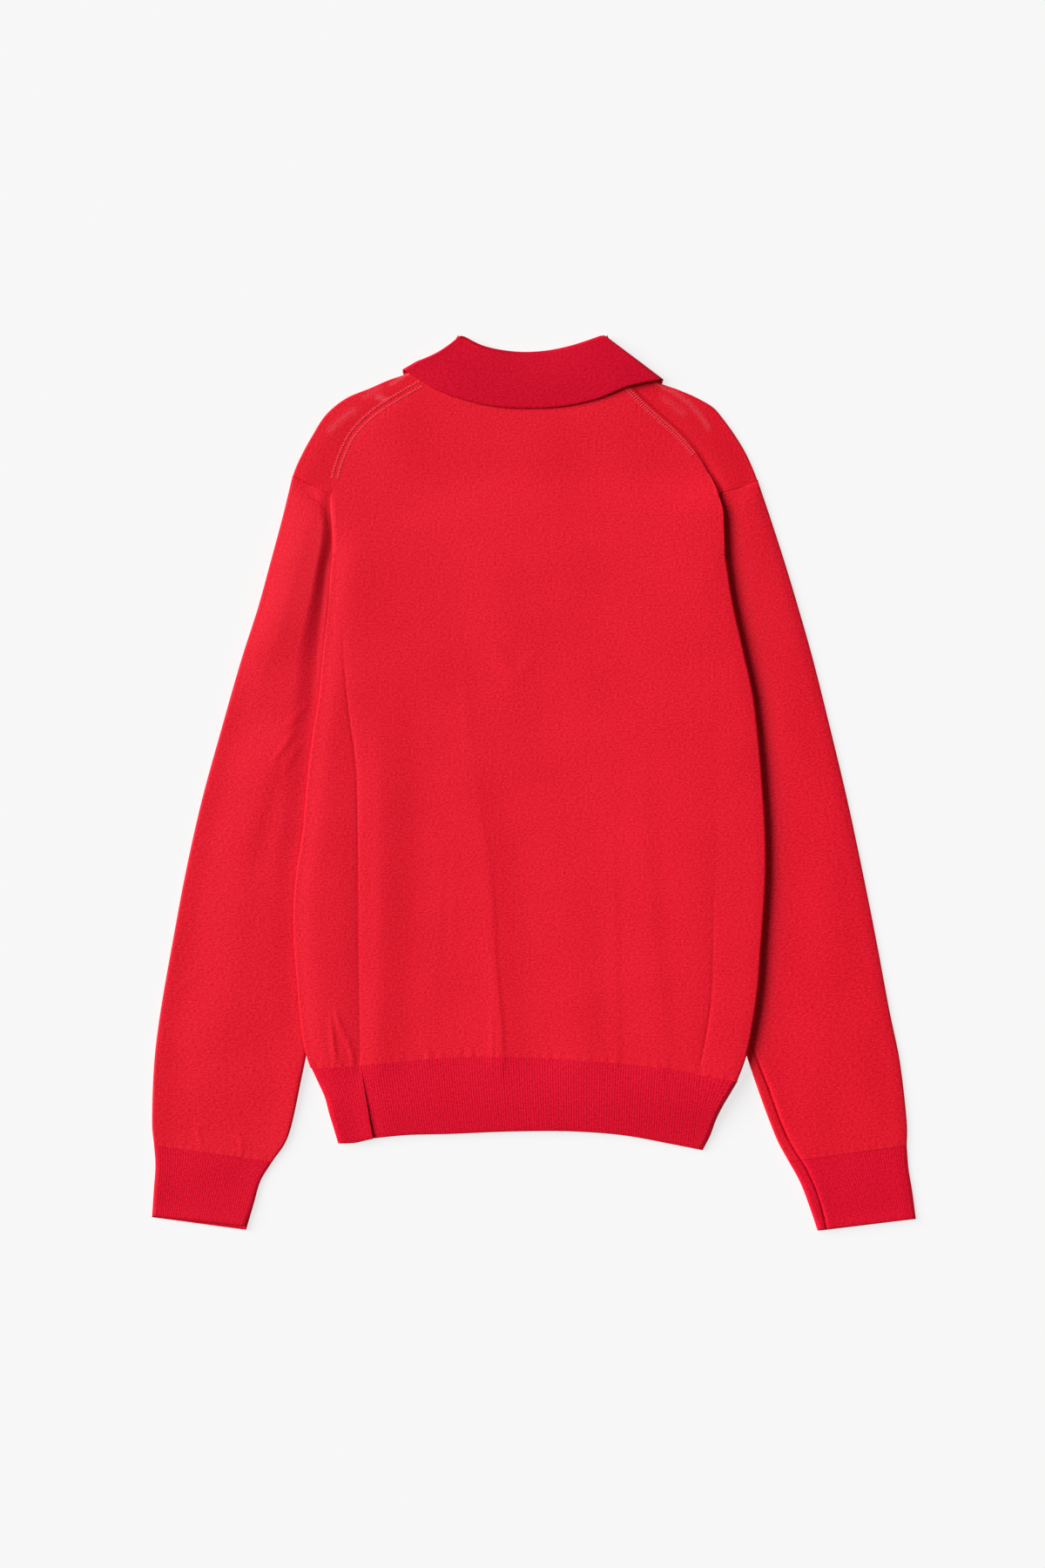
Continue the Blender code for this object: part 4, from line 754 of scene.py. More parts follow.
def front_above_armpits():
    """Armholes and neck beneath, and the shoulders folded over to the back."""
    rows = {side: [] for side in (1, -1)}
    share = np.linspace(0, 1, SHOULDER_LINES)
    blank_side = np.full((SIDE_TOP_LINES + 1 + FOLD_LINES, 3), np.nan)
    blank_neck = np.full((NECK_LINES, 3), np.nan)
    for side in (1, -1):
        inset, inward = shoulder_inset(side, share)
        neck = front_neck[side](np.arange(1, NECK_LINES + 1) / NECK_LINES)
        target = np.concatenate([inset, neck])
        armhole = [(y, 0.0) for y in np.linspace(ARMPIT_Y, SHOULDER_LOW, 14)[1:]]
        for y, up in armhole + [(SHOULDER_LOW, up) for up in np.linspace(0, 1, 14)[1:]]:
            edge = yoke_edge[side](y) + side * FRONT_OVERHANG
            x = edge + (zip_axis(y) + side * SLIT_HALF_WIDTH - edge) * front_shares()
            plan = np.stack([x, np.full_like(x, y)], axis=-1) * (1 - up) + target * up
            beneath = np.column_stack([plan, underside(plan[:, 0], plan[:, 1])])
            rows[side].append(np.concatenate([blank_side, beneath]))
        seam_y = SHOULDER_LOW + (SHOULDER_HIGH - SHOULDER_LOW) * share
        seam = np.stack([yoke_edge[side](seam_y) + side * BUTT, seam_y], axis=-1)
        level = inset.T
        relief = body_relief(*level)
        for angle in np.linspace(-UP, UP, FOLD_LINES + 1)[1:]:
            plan = inset - inward * SHOULDER_TURN * math.cos(angle)
            points = fold_over(*plan.T, *level, angle, relief)
            rows[side].append(np.concatenate([blank_side, points, blank_neck]))
        for up in np.concatenate([np.linspace(0, 1, 30)[1:-1], [0.975, 0.99, 1.0]]):
            plan = inset * (1 - up) + seam * up
            points = fold_over(*plan.T, *plan.T, UP, body_relief(*plan.T))
            rows[side].append(np.concatenate([blank_side, points, blank_neck]))
    return np.stack([np.concatenate([right, left[::-1]]) for right, left in zip(rows[1], rows[-1])])


def paleness_at(x, y):
    """How much paler and pinker the shoulders' colour is, place by place."""
    amount = np.zeros(np.shape(x))
    for path, strength, half_width in PALE_PLACES:
        away = beside(path, x, y)[0]
        amount = np.maximum(amount, strength * mound(away, half_width))
    return amount


def make_front(material):
    """The front panel with its side and shoulder folds, and the zip's slit."""
    heights = np.concatenate([[BODY_FOOT, BODY_FOOT + 0.4, BODY_FOOT + 1],
                              np.linspace(BODY_FOOT, ARMPIT_Y, 132)[1:]])[:, None]
    below, above = front_below_armpits(heights), front_above_armpits()
    points = np.concatenate([below, above])
    slit_row = int(np.argmax(heights[:, 0] > ZIP_BOTTOM_Y - 2))
    middle = points.shape[1] // 2 - 1
    marks = points[..., :2].copy()
    turned = len(below) + 26
    for side in (1, -1):
        fold = SHOULDER_LINE[side]
        half = slice(0, middle + 1) if side > 0 else slice(middle + 1, None)
        inwards, along = beside(fold, points[turned:, half, 0], points[turned:, half, 1])
        marks[turned:, half, 0] = along * np.hypot(*np.diff(fold, axis=0).T).sum()
        marks[turned:, half, 1] = np.abs(inwards)
    pale = np.nan_to_num(paleness_at(points[..., 0], points[..., 1]))
    pale[:turned] = 0
    columns = np.zeros(points.shape[:2])
    columns[turned:] = 1
    return knitted("front_panel", points, marks, WALL, material, ["front"], (slit_row, middle),
                   pale=pale, columns=columns)


# ---- hem bands ------------------------------------------------------------------------------

def hem_across(name, down):
    """Where a side or seam of the hem is: down goes from 0 at its top to 1 at its lower edge."""
    return column(HEM_COLUMNS, HEM, name, "down")(down)


def hem_points(x, down, angle=UP, level_x=None, ribs=None, vent=0.0):
    """Points of a hem band's outer face; ribs counts its ribs, and vent lifts its upper layer."""
    x, down = np.broadcast_arrays(x, down)
    level_x = x if level_x is None else np.broadcast_to(level_x, x.shape)
    y = hem_seam(x) - BUTT + (hem_edge(x) - hem_seam(x) + BUTT) * down
    length = np.abs(hem_edge(x) - hem_seam(x))
    ends = rounded((1 - down) * length, 1.6, 0.9)
    bottom = underside(level_x, y)
    top = np.maximum(topside(level_x, y) + HEM_STEP, bottom + 2 * BAND_WALL + 0.5)
    top = top + body_relief(level_x, y) * (1 - 0.75 * smooth(down * 2)) + vent
    turn = np.sin(angle)
    z = (top + bottom) / 2 + (top - bottom) / 2 * turn
    raised = 0 if ribs is None else RIB_RISE * (0.5 - 0.5 * np.cos(2 * math.pi * ribs))
    z = z + raised - ends * turn
    return np.stack([x, y, z], axis=-1)


# Shares down a hem band for its rows, from its lower edge up, close together at both ends.
HEM_DOWNS = np.concatenate([[0, 0.006, 0.018], np.linspace(0, 1, 15)[1:-1],
                            [0.978, 0.99, 1.0]])[::-1]


def make_hem_back(material):
    """The ribbed band below the back panel."""
    down = HEM_DOWNS[:, None]
    left = hem_across("seam_left", down) + BUTT + 1.2 * down ** 2
    right = hem_across("seam_right", down) - BUTT
    ribs = int((hem_across("seam_right", 0.5) - hem_across("seam_left", 0.5)) / RIB_PITCH)
    count = np.linspace(0, ribs, RIB_POINTS * ribs + 1)[None, :]
    x = left + (right - left) * count / ribs
    vent = -HEM_SINK * down * mound(x - left, HEM_SINK_WIDTH)
    points = hem_points(x, down, ribs=count, vent=vent)
    across = np.broadcast_to(count, points.shape[:2]) * RIB_PITCH
    marks = np.stack([across, points[..., 1]], axis=-1)
    points, marks = tucked(points, marks)
    return knitted("back_hem_rib", points, marks, BAND_WALL, material, ["hem_back"])


def make_hem_front(material):
    """The ribbed band below the front panel, with its ends brought round to the side seams."""
    down = HEM_DOWNS[:, None]
    halves, marks = [], []
    for side, seam, fold in ((1, "seam_right", "right"), (-1, "seam_left", "left")):
        at_seam = hem_across(seam, down) + side * BUTT
        inset = hem_across(fold, down) - side * HEM_TURN
        ribs = int(abs(hem_across(seam, 0.5) - hem_across(fold, 0.5)) / RIB_PITCH)
        count = np.linspace(0, ribs, RIB_POINTS * ribs + 1)[None, :]
        x = at_seam + (inset - at_seam) * count / ribs
        vent = HEM_SPLAY * down * mound(x - at_seam, HEM_SPLAY_WIDTH) * (side < 0)
        top = hem_points(x, down, ribs=count, vent=vent)
        angle = np.linspace(UP, -UP, 12)[None, 1:]
        turn = hem_points(inset + side * HEM_TURN * np.cos(angle), down, angle, inset + 0 * angle)
        share = np.linspace(0, 1, 40)[None, 1:]
        beneath = hem_points(inset + (HEM_MIDDLE_X - inset) * share, down, -UP)
        half = np.concatenate([top, turn, beneath], axis=1)
        across = np.concatenate([count[0] * RIB_PITCH, ribs * RIB_PITCH + np.linspace(1, 12, 11),
                                 ribs * RIB_PITCH + 12 + 150 * share[0]])
        across = np.broadcast_to(across, half.shape[:2]) * side
        halves.append(half if side > 0 else half[:, -2::-1])
        marks.append(across if side > 0 else across[:, -2::-1])
    points = np.concatenate(halves, axis=1)
    marks = np.stack([np.concatenate(marks, axis=1), points[..., 1]], axis=-1)
    upper = np.abs(points[0, :, 2]) > 2
    points, marks = tucked(points, marks, np.where(upper, 1.0, -1.0))
    return knitted("front_hem_rib", points, marks, BAND_WALL, material, ["hem_front"])


# ---- sleeves and cuffs ----------------------------------------------------------------------

def table_rows(rows, shares):
    """A table's rows read smoothly at shares of its length."""
    rows = np.asarray(rows, float)
    places = np.linspace(0, 1, len(rows))
    return [curve(places, rows[:, k])(shares)[:, None] for k in range(rows.shape[1])]


def even_places(count, turn):
    """Places across a tube's layer, evenly between its folds."""
    shares = np.linspace(0, 1, count)[None, :]
    return lambda left, right, length: turn + (length - 2 * turn) * shares


def ledge_places(turn):
    """Places across the right sleeve's upper layer, close together at its underarm seam."""
    ledge_x = curve([y for x, y in LEDGE], [x for x, y in LEDGE])

    def places(left, right, length):
        trial = np.linspace(0, 1, 800)[None, :, None]
        path = left[:, 0, None] + (right - left)[:, 0, None] * trial
        past = path[..., 0] > ledge_x(path[..., 1])
        at = np.argmax(past, axis=1)[:, None] / 799 * length
        at = np.clip(at, turn + 4, 16)
        close = np.array([-2, -1.3, -0.8, -0.45, -0.2, 0, 0.2, 0.45, 0.8, 1.3, 2])[None, :]
        before = turn + (at - 2.6 - turn) * np.linspace(0, 1, 4)[None, :]
        after = at + 2.6 + (length - turn - at - 2.6) * np.linspace(0, 1, 50)[None, :]
        return np.concatenate([before, at + close, after], axis=1)

    return places


def tube(side, table, shares, turn, edge, push, top_places, low_shares):
    """Rings of a sleeve or cuff that lies flat.

    Gives their plan, their height, how far they are turned round the folds, their stitch marks and
    their distance from the outer edge.
    """
    outer_x, outer_y, inner_x, inner_y, rise, inner_rise, bend = table_rows(table, shares)
    outer, inner = np.stack([outer_x, outer_y], -1), np.stack([inner_x, inner_y], -1)
    middle = (outer + inner) / 2 + np.asarray(push) * np.clip(bend, 0, 1)[..., None]
    left, right = (outer, inner) if side < 0 else (inner, outer)
    first = np.linalg.norm(middle - left, axis=-1)
    length = first + np.linalg.norm(right - middle, axis=-1)
    bends = np.linspace(0, UP, 7)[:-1]
    depth = turn * (1 - np.cos(bends))
    top = top_places(left, right, length)
    low = turn + (length - 2 * turn) * low_shares[None, ::-1]
    angle = np.concatenate([bends, np.full(top.shape[1], UP), bends[::-1], -bends[1:],
                            np.full(low.shape[1], -UP), -bends[:0:-1], [0.0]])[None, :]
    ones = np.ones_like(length)
    distance = np.concatenate([depth * ones, top, length - depth[::-1], length - depth[1:], low,
                               depth[:0:-1] * ones, 0 * ones], axis=1)
    share = distance / length
    before = (distance <= first)[..., None]
    at_first = (distance / first)[..., None]
    at_second = ((distance - first) / (length - first))[..., None]
    plan = np.where(before, left + (middle - left) * at_first,
                    middle + (right - middle) * at_second)
    x, y = plan[..., 0], plan[..., 1]
    from_outer = np.hypot(x - outer_x, y - outer_y)
    loft = (edge - rise) * mound(from_outer, OUTER_LOFT_WIDTH) * (side < 0)
    loft = loft + (inner_rise - rise) * mound(np.hypot(x - inner_x, y - inner_y), INNER_LOFT_WIDTH)
    run = np.linalg.norm(np.diff((left + right)[:, 0] / 2, axis=0), axis=-1)
    along = np.concatenate([[0], np.cumsum(run)])[:, None] + 0 * share
    round_it = np.where(angle >= 0, share, 2 - share) * length.mean()
    round_it[:, -1] = 2 * length.mean()
    return x, y, rise + loft, angle, np.stack([round_it, along], axis=-1), from_outer


# How a sleeve's upper layer lies beside the body.
UNDER_BODY = {-1: 5, 1: 10}                # how far under the body's edge it comes down
LEFT_RIM_DROP, LEFT_RIM_WIDTH = 1.2, 8     # how it comes down at its outer edge
RIGHT_RIM_DROP, RIGHT_RIM_WIDTH = 0.8, 5
RIGHT_ARCH = 0.9                           # the right one is a low arch, hollow beside the body
RIGHT_HOLLOW, RIGHT_HOLLOW_WIDTH = 1.4, 12
OUTER_LOFT_WIDTH, INNER_LOFT_WIDTH = 12, 16        # how wide the springy folds at its edges are


def beside_body(side, x, y, from_outer):
    """How a sleeve rises and rounds off between the body's edge and its own outer edge."""
    out = side * (x - body_edge[side](y))
    beneath = smooth(1 + out / UNDER_BODY[side])
    if side < 0:
        rim = LEFT_RIM_DROP * (0.15 + 0.85 * smooth((y - 60) / 60))
        width = 11 + 8 * smooth((190 - y) / 90)
        upper = smooth((y - 30) / 90)
        arch = upper * (0.6 + 0.4 * smooth(from_outer / 26)) + (1 - upper) * smooth(from_outer / 60)
        puff = sleeve_puff(y) * arch
        low = smooth((212 - y) / 34)
        at_edge = 0.5 * upper * low * smooth(1 - out / 6)
        rise = puff - sleeve_dip(y) * (1 - smooth((out - 3 * low) / width)) + at_edge
        return rise * beneath - rim * mound(from_outer, LEFT_RIM_WIDTH)
    share = np.clip(out / (out + from_outer + 1e-6), 0, 1)
    arch = RIGHT_ARCH * np.sin(math.pi * share ** 0.8)
    hollow = RIGHT_HOLLOW * mound(out, RIGHT_HOLLOW_WIDTH) * beneath * smooth((258 - y) / 30)
    return arch - hollow - RIGHT_RIM_DROP * mound(from_outer, RIGHT_RIM_WIDTH)


def sleeve_relief(side, x, y):
    """Creases of the sleeves, and the right sleeve's sunken underarm seam."""
    height = unevenness(x, y, 0.25, 5 + side)
    if side < 0:
        return height + creases(SLEEVE_CREASES, x, y)
    across, along = beside(finer(LEDGE, 40), x, y)
    uneven = 0.75 + 0.25 * np.sin(along * 47) * np.sin(along * 19 + 1)
    groove = LEDGE_DEPTH * np.exp(-np.abs(across / LEDGE_WIDTH) ** 1.3) * smooth(along * 5) * uneven
    return height - groove + LEDGE_RISE * smooth(across / LEDGE_RISE_WIDTH) * smooth(along * 5)


def make_sleeve(side, name, material, node):
    """A plain knit tube from the cuff to the armhole."""
    outer_x, outer_y, inner_x, inner_y = SLEEVE[side][-1][:4]
    corner = np.array(ARMHOLE_CORNER[side]) + (side * (FRONT_OVERHANG + SEAM), -SEAM / 4)
    push = corner - ((outer_x + inner_x) / 2, (outer_y + inner_y) / 2)
    rows = np.concatenate([[0, 0.0007, 0.002], np.linspace(0, 1, 196)[1:-1], [0.998, 0.9993, 1]])
    places = even_places(62, TUBE_TURN) if side < 0 else ledge_places(TUBE_TURN)
    x, y, high, angle, marks, from_outer = tube(side, SLEEVE[side], rows, TUBE_TURN, SLEEVE_TOP,
                                                push, places, np.linspace(0, 1, 24))
    turn = np.sin(angle)
    shown = smooth(turn)
    above = marks[..., 1]
    to_end = smooth((above[-1:] - above) / 12)
    to_end = np.maximum(to_end, smooth(1 - side * (x - body_edge[side](y)) / 25))
    upper = np.clip(turn + 1, 0, 1) * (0.3 + 0.7 * to_end)
    high = high + beside_body(side, x, y, from_outer) * upper
    relief = sleeve_relief(side, x, y) + gathers(marks[..., 0], above, 8)
    ends = rounded(above[-1:] - above, 1.2, 0.3)
    z = high / 2 * (1 + turn) + (relief - ends) * shown
    flat_top = turn > 0.999
    z = np.maximum(z, np.where(flat_top, 2 * WALL + 0.1, 0))
    points, marks = tucked(np.stack([x, y, z], axis=-1), marks, turn[0], ARMHOLE_TUCK)
    return knitted(name, points, marks, WALL, material, [node], tube=True)


def make_cuff(side, name, material, node):
    """A ribbed tube whose upper layer ends a little short of the lower one."""
    outer_x, outer_y, inner_x, inner_y = CUFF[side][0][:4]
    width = math.hypot(outer_x - inner_x, outer_y - inner_y)
    ribs = int(width / RIB_PITCH)
    rows = np.concatenate([[0, 0.008, 0.022], np.linspace(0, 1, 18)[1:-1], [0.982, 0.993, 1]])
    places = even_places(RIB_POINTS * ribs + 1, CUFF_TURN)
    x, y, high, angle, marks, from_outer = tube(side, CUFF[side], rows, CUFF_TURN, CUFF_TOP,
                                                np.zeros(2), places, np.linspace(0, 1, 40))
    turn = np.sin(angle)
    shown = smooth(turn)
    above = marks[..., 1]
    flat_width = width - 2 * CUFF_TURN
    wave = 0.5 - 0.5 * np.cos(2 * math.pi * (marks[..., 0] - CUFF_TURN) / flat_width * ribs)
    ends = rounded(above, 1.4, 0.7)
    high = high - 0.7 * mound(from_outer, 6) * (side > 0)
    relief = RIB_RISE * wave * (turn > 0.999) + sleeve_relief(side, x, y)
    z = high / 2 * (1 + turn) + (relief - ends) * shown
    across = np.clip(from_outer / width, 0, 1)
    lip = CUFF_LIP[side] * shown * (0.55 + 0.75 * across) * (1 - smooth(above / 20))
    tilt = CUFF_TILT[side] * (2 * across - 1) * (0.4 + 0.6 * (1 - smooth((above - 40) / 30)))
    z = z + (0.8 * (1 - smooth(above / 12)) + tilt) * shown
    marks = marks * (ribs * RIB_PITCH / flat_width, 1)
    points, marks = tucked(np.stack([x, y + lip, np.maximum(z, 0)], axis=-1), marks, turn[0])
    return knitted(name, points, marks, BAND_WALL, material, [node], tube=True)


# ---- collar ---------------------------------------------------------------------------------

def collar_stations():
    """The collar's table with its side turns drawn out, read smoothly at close stations."""
    rows = [np.array(row, float) for row in COLLAR]
    stations = []
    for before, row, after in zip([None] + rows[:-1], rows, rows[1:] + [None]):
        if row[0] != 0.5:
            stations.append(row)
            continue
        for angle in np.linspace(-UP, UP, 9):
            rising = before[0] < after[0]
            turned = angle if rising else -angle
            part = row.copy()
            part[0] = 0.5 + turned / math.pi
            neighbour = before if (turned < 0) == rising else after
            for name, reach in COLLAR_TURN.items():
                first = COLLAR_COLUMNS.index(name)
                inward = neighbour[first:first + 2] - row[first:first + 2]
                inward = inward / np.linalg.norm(inward)
                part[first:first + 2] += inward * reach * (1 - math.cos(turned))
            stations.append(part)
    stations = np.array(stations)
    fold_run = np.hypot(*np.diff(stations[:, 3:5], axis=0).T)
    edge_run = np.hypot(*np.diff(stations[:, 5:7], axis=0).T)
    runs = (fold_run + edge_run) / 2 + 9 * np.abs(np.diff(stations[:, 0]))
    places = np.concatenate([[0], np.cumsum(runs)])
    whole = places[-1]
    turns = [place / whole for place, row in zip(places, stations) if row[0] == 0.5]
    even = np.linspace(0, 1, 4001)
    crowd = np.cumsum(1 + 2.5 * sum(np.exp(-((even - turn) * whole / 9) ** 2) for turn in turns))
    close = np.interp(np.linspace(crowd[0], crowd[-1], 300), crowd, even) * whole
    close = np.concatenate([[0, 0.3, 0.9], close[1:-1], whole - np.array([0.9, 0.3, 0])])
    return [curve(places, stations[:, k])(close) for k in range(7)]


def make_collar(material):
    """The folded collar, one wall from the zip's left round the neck to its right."""
    turn, seam_x, seam_y, fold_x, fold_y, edge_x, edge_y = collar_stations()
    seam, fold = np.stack([seam_x, seam_y]), np.stack([fold_x, fold_y])
    edge = np.stack([edge_x, edge_y])
    turn = np.clip(turn, 0, 1)
    swing = np.sin((turn - 0.5) * math.pi)
    lift = COLLAR_LIFT - COLLAR_DIP * mound(fold_x - NECK_X, COLLAR_DIP_WIDTH) * turn
    stand = (2 * COLLAR_FOLD + lift) / 2 + (lift - 2 * COLLAR_FOLD) / 2 * swing
    fall = (lift + 2 * COLLAR_FOLD) / 2 * (1 + swing)
    down_stand = (seam - fold) / np.hypot(*(seam - fold))
    down_fall = (edge - fold) / np.hypot(*(edge - fold))
    to_end, tips = np.full(len(turn), 1e9), 0.0
    for side in (-1, 1):
        place = np.argmin(np.where(side * fold_x > 0, np.abs(turn - 0.5), 9))
        away = np.hypot(fold_x - fold_x[place], fold_y - fold_y[place])
        to_end = np.minimum(to_end, away)
        tips = tips + COLLAR_TIP[side] * mound(away, COLLAR_TIP_WIDTH)
    horn = 1.6 * np.clip(1 - to_end / 5, 0, 1) ** 2
    fold = fold + down_fall * horn
    hollow = 2.2 * mound(to_end, 6) * (fold_x < 0)
    rows, zs, lengths = [], [], []
    for share in np.linspace(0, 1, 9):
        rows.append(seam + (fold + down_stand * COLLAR_FOLD - seam) * share)
        zs.append(stand)
        lengths.append(-COLLAR_STAND * (1 - share))
    for bend in np.linspace(0, math.pi, 13)[1:-1]:
        towards = down_stand * (1 + math.cos(bend)) / 2 + down_fall * (1 - math.cos(bend)) / 2
        rows.append(fold + towards * COLLAR_FOLD * (1 - math.sin(bend)))
        zs.append(stand + (fall - stand) * (1 - math.cos(bend)) / 2)
        lengths.append(bend * 1.6)
    start = fold + down_fall * COLLAR_FOLD
    for share in np.concatenate([np.linspace(0, 1, 34)[:-1], [0.985, 0.994, 1.0]]):
        plan = start + (edge - start) * share
        across, down = plan[0], share * COLLAR_FALL
        waves = 0.25 * np.sin(across / 17 + 1) * np.sin(down / 15)
        waves = waves + 0.2 * np.sin(across / 31 - down / 20)
        swell = 0.9 * math.sin(math.pi * share) - 1.2 * mound(to_end, 15) + tips
        curl = rounded(np.array((1 - share) * COLLAR_FALL), 1.6, 0.8)
        bow = hollow * math.sin(math.pi * min(share / 0.75, 1))
        rows.append(plan + np.stack([0.51 * bow, -0.86 * bow]))
        zs.append(fall + (waves + swell - curl) * turn)
        lengths.append(5 + down)
    points = np.stack([np.column_stack([*plan, z]) for plan, z in zip(rows, zs)])[::-1]
    run = np.hypot(*np.diff((fold + edge) / 2, axis=1))
    around = np.concatenate([[0], np.cumsum(run)])
    down = np.array(lengths[::-1])
    marks = np.stack(np.broadcast_arrays(around[None, :], -down[:, None]), axis=-1)
    return knitted("collar_fold", points, marks, COLLAR_WALL, material, ["collar"])


# ---- sewing and zip -------------------------------------------------------------------------

def small_piece(name, shape, material, node):
    """A piece from a finished bmesh, riding on the garment."""
    bmesh.ops.recalc_face_normals(shape, faces=shape.faces)
    mesh = bpy.data.meshes.new(name)
    shape.to_mesh(mesh)
    shape.free()
    mesh.shade_smooth()
    mesh.materials.append(material)
    piece = bpy.data.objects.new(name, mesh)
    bpy.context.collection.objects.link(piece)
    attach(piece, "garment")
    if node:
        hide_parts(node)
    return piece


def ball(around, bands):
    """Corners and faces of a ball 1 across with its poles on Z, in the same order each run."""
    corners = [Vector((0, 0, 0.5))]
    for tilt in np.linspace(0, math.pi, bands + 1)[1:-1]:
        for turn in np.arange(around) * 2 * math.pi / around:
            ring = math.sin(tilt) / 2
            corners.append(Vector((ring * math.cos(turn), ring * math.sin(turn), math.cos(tilt) / 2)))
    corners.append(Vector((0, 0, -0.5)))
    pole, faces = len(corners) - 1, []
    for k in range(around):
        upper = [1 + band * around + k for band in range(bands - 1)]
        beside = [1 + band * around + (k + 1) % around for band in range(bands - 1)]
        faces += [(0, upper[0], beside[0]), (pole, beside[-1], upper[-1])]
        faces += [(upper[band], upper[band + 1], beside[band + 1], beside[band])
                  for band in range(bands - 2)]
    return corners, faces


def make_sewing(material):
    """Rows of small stitches along both shoulder seams."""
    shape = bmesh.new()
    corners, faces = ball(STITCH_SIDES, STITCH_BANDS)
    for side, start, end, inside, spacing, length, width, slant in SEWING:
        y = np.linspace(start, end, 200)
        seam = np.stack([yoke_edge[side](y), y], axis=-1)
        run = np.gradient(seam, axis=0)
        run /= np.linalg.norm(run, axis=-1, keepdims=True)
        inward = np.stack([run[:, 1], -run[:, 0]], axis=-1) * side
        row = seam + inward * inside
        lengths = np.concatenate([[0], np.cumsum(np.hypot(*np.diff(row, axis=0).T))])
        for at in np.arange(spacing / 2, lengths[-1], spacing):
            k = int(np.argmin(np.abs(lengths - at)))
            x, y_at = row[k]
            z = float(topside(x, y_at) + body_relief(np.array(x), np.array(y_at))) + STITCH_LIFT
            heading = math.atan2(run[k, 1], run[k, 0]) + side * math.radians(slant)
            place = (Matrix.Translation(Vector((x, y_at, z)) * MM)
                     @ Matrix.Rotation(heading, 4, "Z")
                     @ Matrix.Diagonal((length * MM, width * MM, STITCH_HEIGHT * MM, 1)))
            points = [shape.verts.new(place @ corner) for corner in corners]
            for face in faces:
                shape.faces.new([points[corner] for corner in face])
    return small_piece("shoulder_stitching", shape, material, None)


def make_teeth(material):
    """Closed zip teeth, one row from each tape meshing in the middle."""
    shape = bmesh.new()
    side = 1
    for y in np.arange(ZIP_BOTTOM_Y + 1.6, ZIP_TOP_Y - 8.4, TOOTH_PITCH / 2):
        level = float(over_leaves(zip_axis(y), y, LEAF_REACH)) + WALL + CLEAR + TAPE_WALL / 2
        place = (Matrix.Translation(Vector((zip_axis(y) + side * TOOTH_OFFSET, y, level)) * MM)
                 @ Matrix.Diagonal((*(size * MM for size in TOOTH), 1)))
        bmesh.ops.create_cube(shape, size=1, matrix=place)
        side = -side
    bmesh.ops.bevel(shape, geom=shape.edges[:], offset=TOOTH_BEVEL * MM, offset_type="OFFSET",
                    segments=1, profile=0.5, affect="EDGES", material=-1)
    return small_piece("zip_teeth_rows", shape, material, "zip_chain")


# ---- finishes -------------------------------------------------------------------------------

class Finish:
    """A material with short ways to add its nodes."""

    def __init__(self, name, roughness, metallic=0.0, sheen=0.0, specular=0.5):
        self.material = bpy.data.materials.new(name)
        self.material.use_nodes = True
        self.tree = self.material.node_tree
        self.shader = self.tree.nodes["Principled BSDF"]
        for socket, value in (("Roughness", roughness), ("Metallic", metallic),
                              ("Sheen Weight", sheen), ("Specular IOR Level", specular),
                              ("Sheen Roughness", 0.45)):
            self.shader.inputs[socket].default_value = value

    def add(self, kind, values, output=0, **settings):
        """A node with its inputs linked or set; gives back one of its outputs."""
        node = self.tree.nodes.new("ShaderNode" + kind)
        for name, value in settings.items():
            setattr(node, name, value)
        for socket, value in values.items():
            self.feed(node.inputs[socket], value)
        return node.outputs[output]

    def feed(self, socket, value):
        """Link or set one input."""
        if isinstance(value, bpy.types.NodeSocket):
            self.tree.links.new(value, socket)
        else:
            socket.default_value = value

    def paint(self, colour):
        """Set or link the colour."""
        self.feed(self.shader.inputs["Base Color"], colour)

    def emboss(self, strength, depth, height):
        """Fine relief, its depth in mm."""
        bump = self.add("Bump", {"Strength": strength, "Distance": depth * MM, "Height": height})
        self.feed(self.shader.inputs["Normal"], bump)

    def sum(self, operation, *values):
        """A Math node."""
        return self.add("Math", dict(enumerate(values)), operation=operation)

    def range(self, value, low, high, to_low=0.0, to_high=1.0):
        """A value taken from one range to another."""
        return self.add("MapRange", {0: value, 1: low, 2: high, 3: to_low, 4: to_high})

    def mix(self, share, first, second):
        """A colour between two others."""
        return self.add("Mix", {0: share, 6: first, 7: second}, output=2, data_type="RGBA")

    def noise(self, place, scale, detail=2.0, roughness=0.5):
        """Soft noise about 0.5."""
        return self.add("TexNoise", {"Vector": place, "Scale": scale, "Detail": detail,
                                     "Roughness": roughness})


# What the yarn's colour is multiplied by: darker yarn with painted shade, paler yarn with painted
# sheen and highlight, and the painted shade between the lines of the shoulders.
DARK_YARN_AND_SHADE, PALE_YARN_AND_SHEEN, SHADE_BETWEEN_LINES = (0.80, 0, 0.15), (1.15, 3.5, 2.0), (0.80, 0.2, 0.5)
# Share of the rib colour left in the painted shade of the valleys between the ribs.
RIB_VALLEY_SHADE = 0.6
YARN_ACROSS, YARN_ALONG = 2.3, 1.5         # size of the yarn's uneven places, in mm
# Pitch of the shoulders' lines, and how strong the painted shade between them is.
SHOULDER_LINE_PITCH, SHOULDER_LINE_CONTRAST = 2.0, 0.6


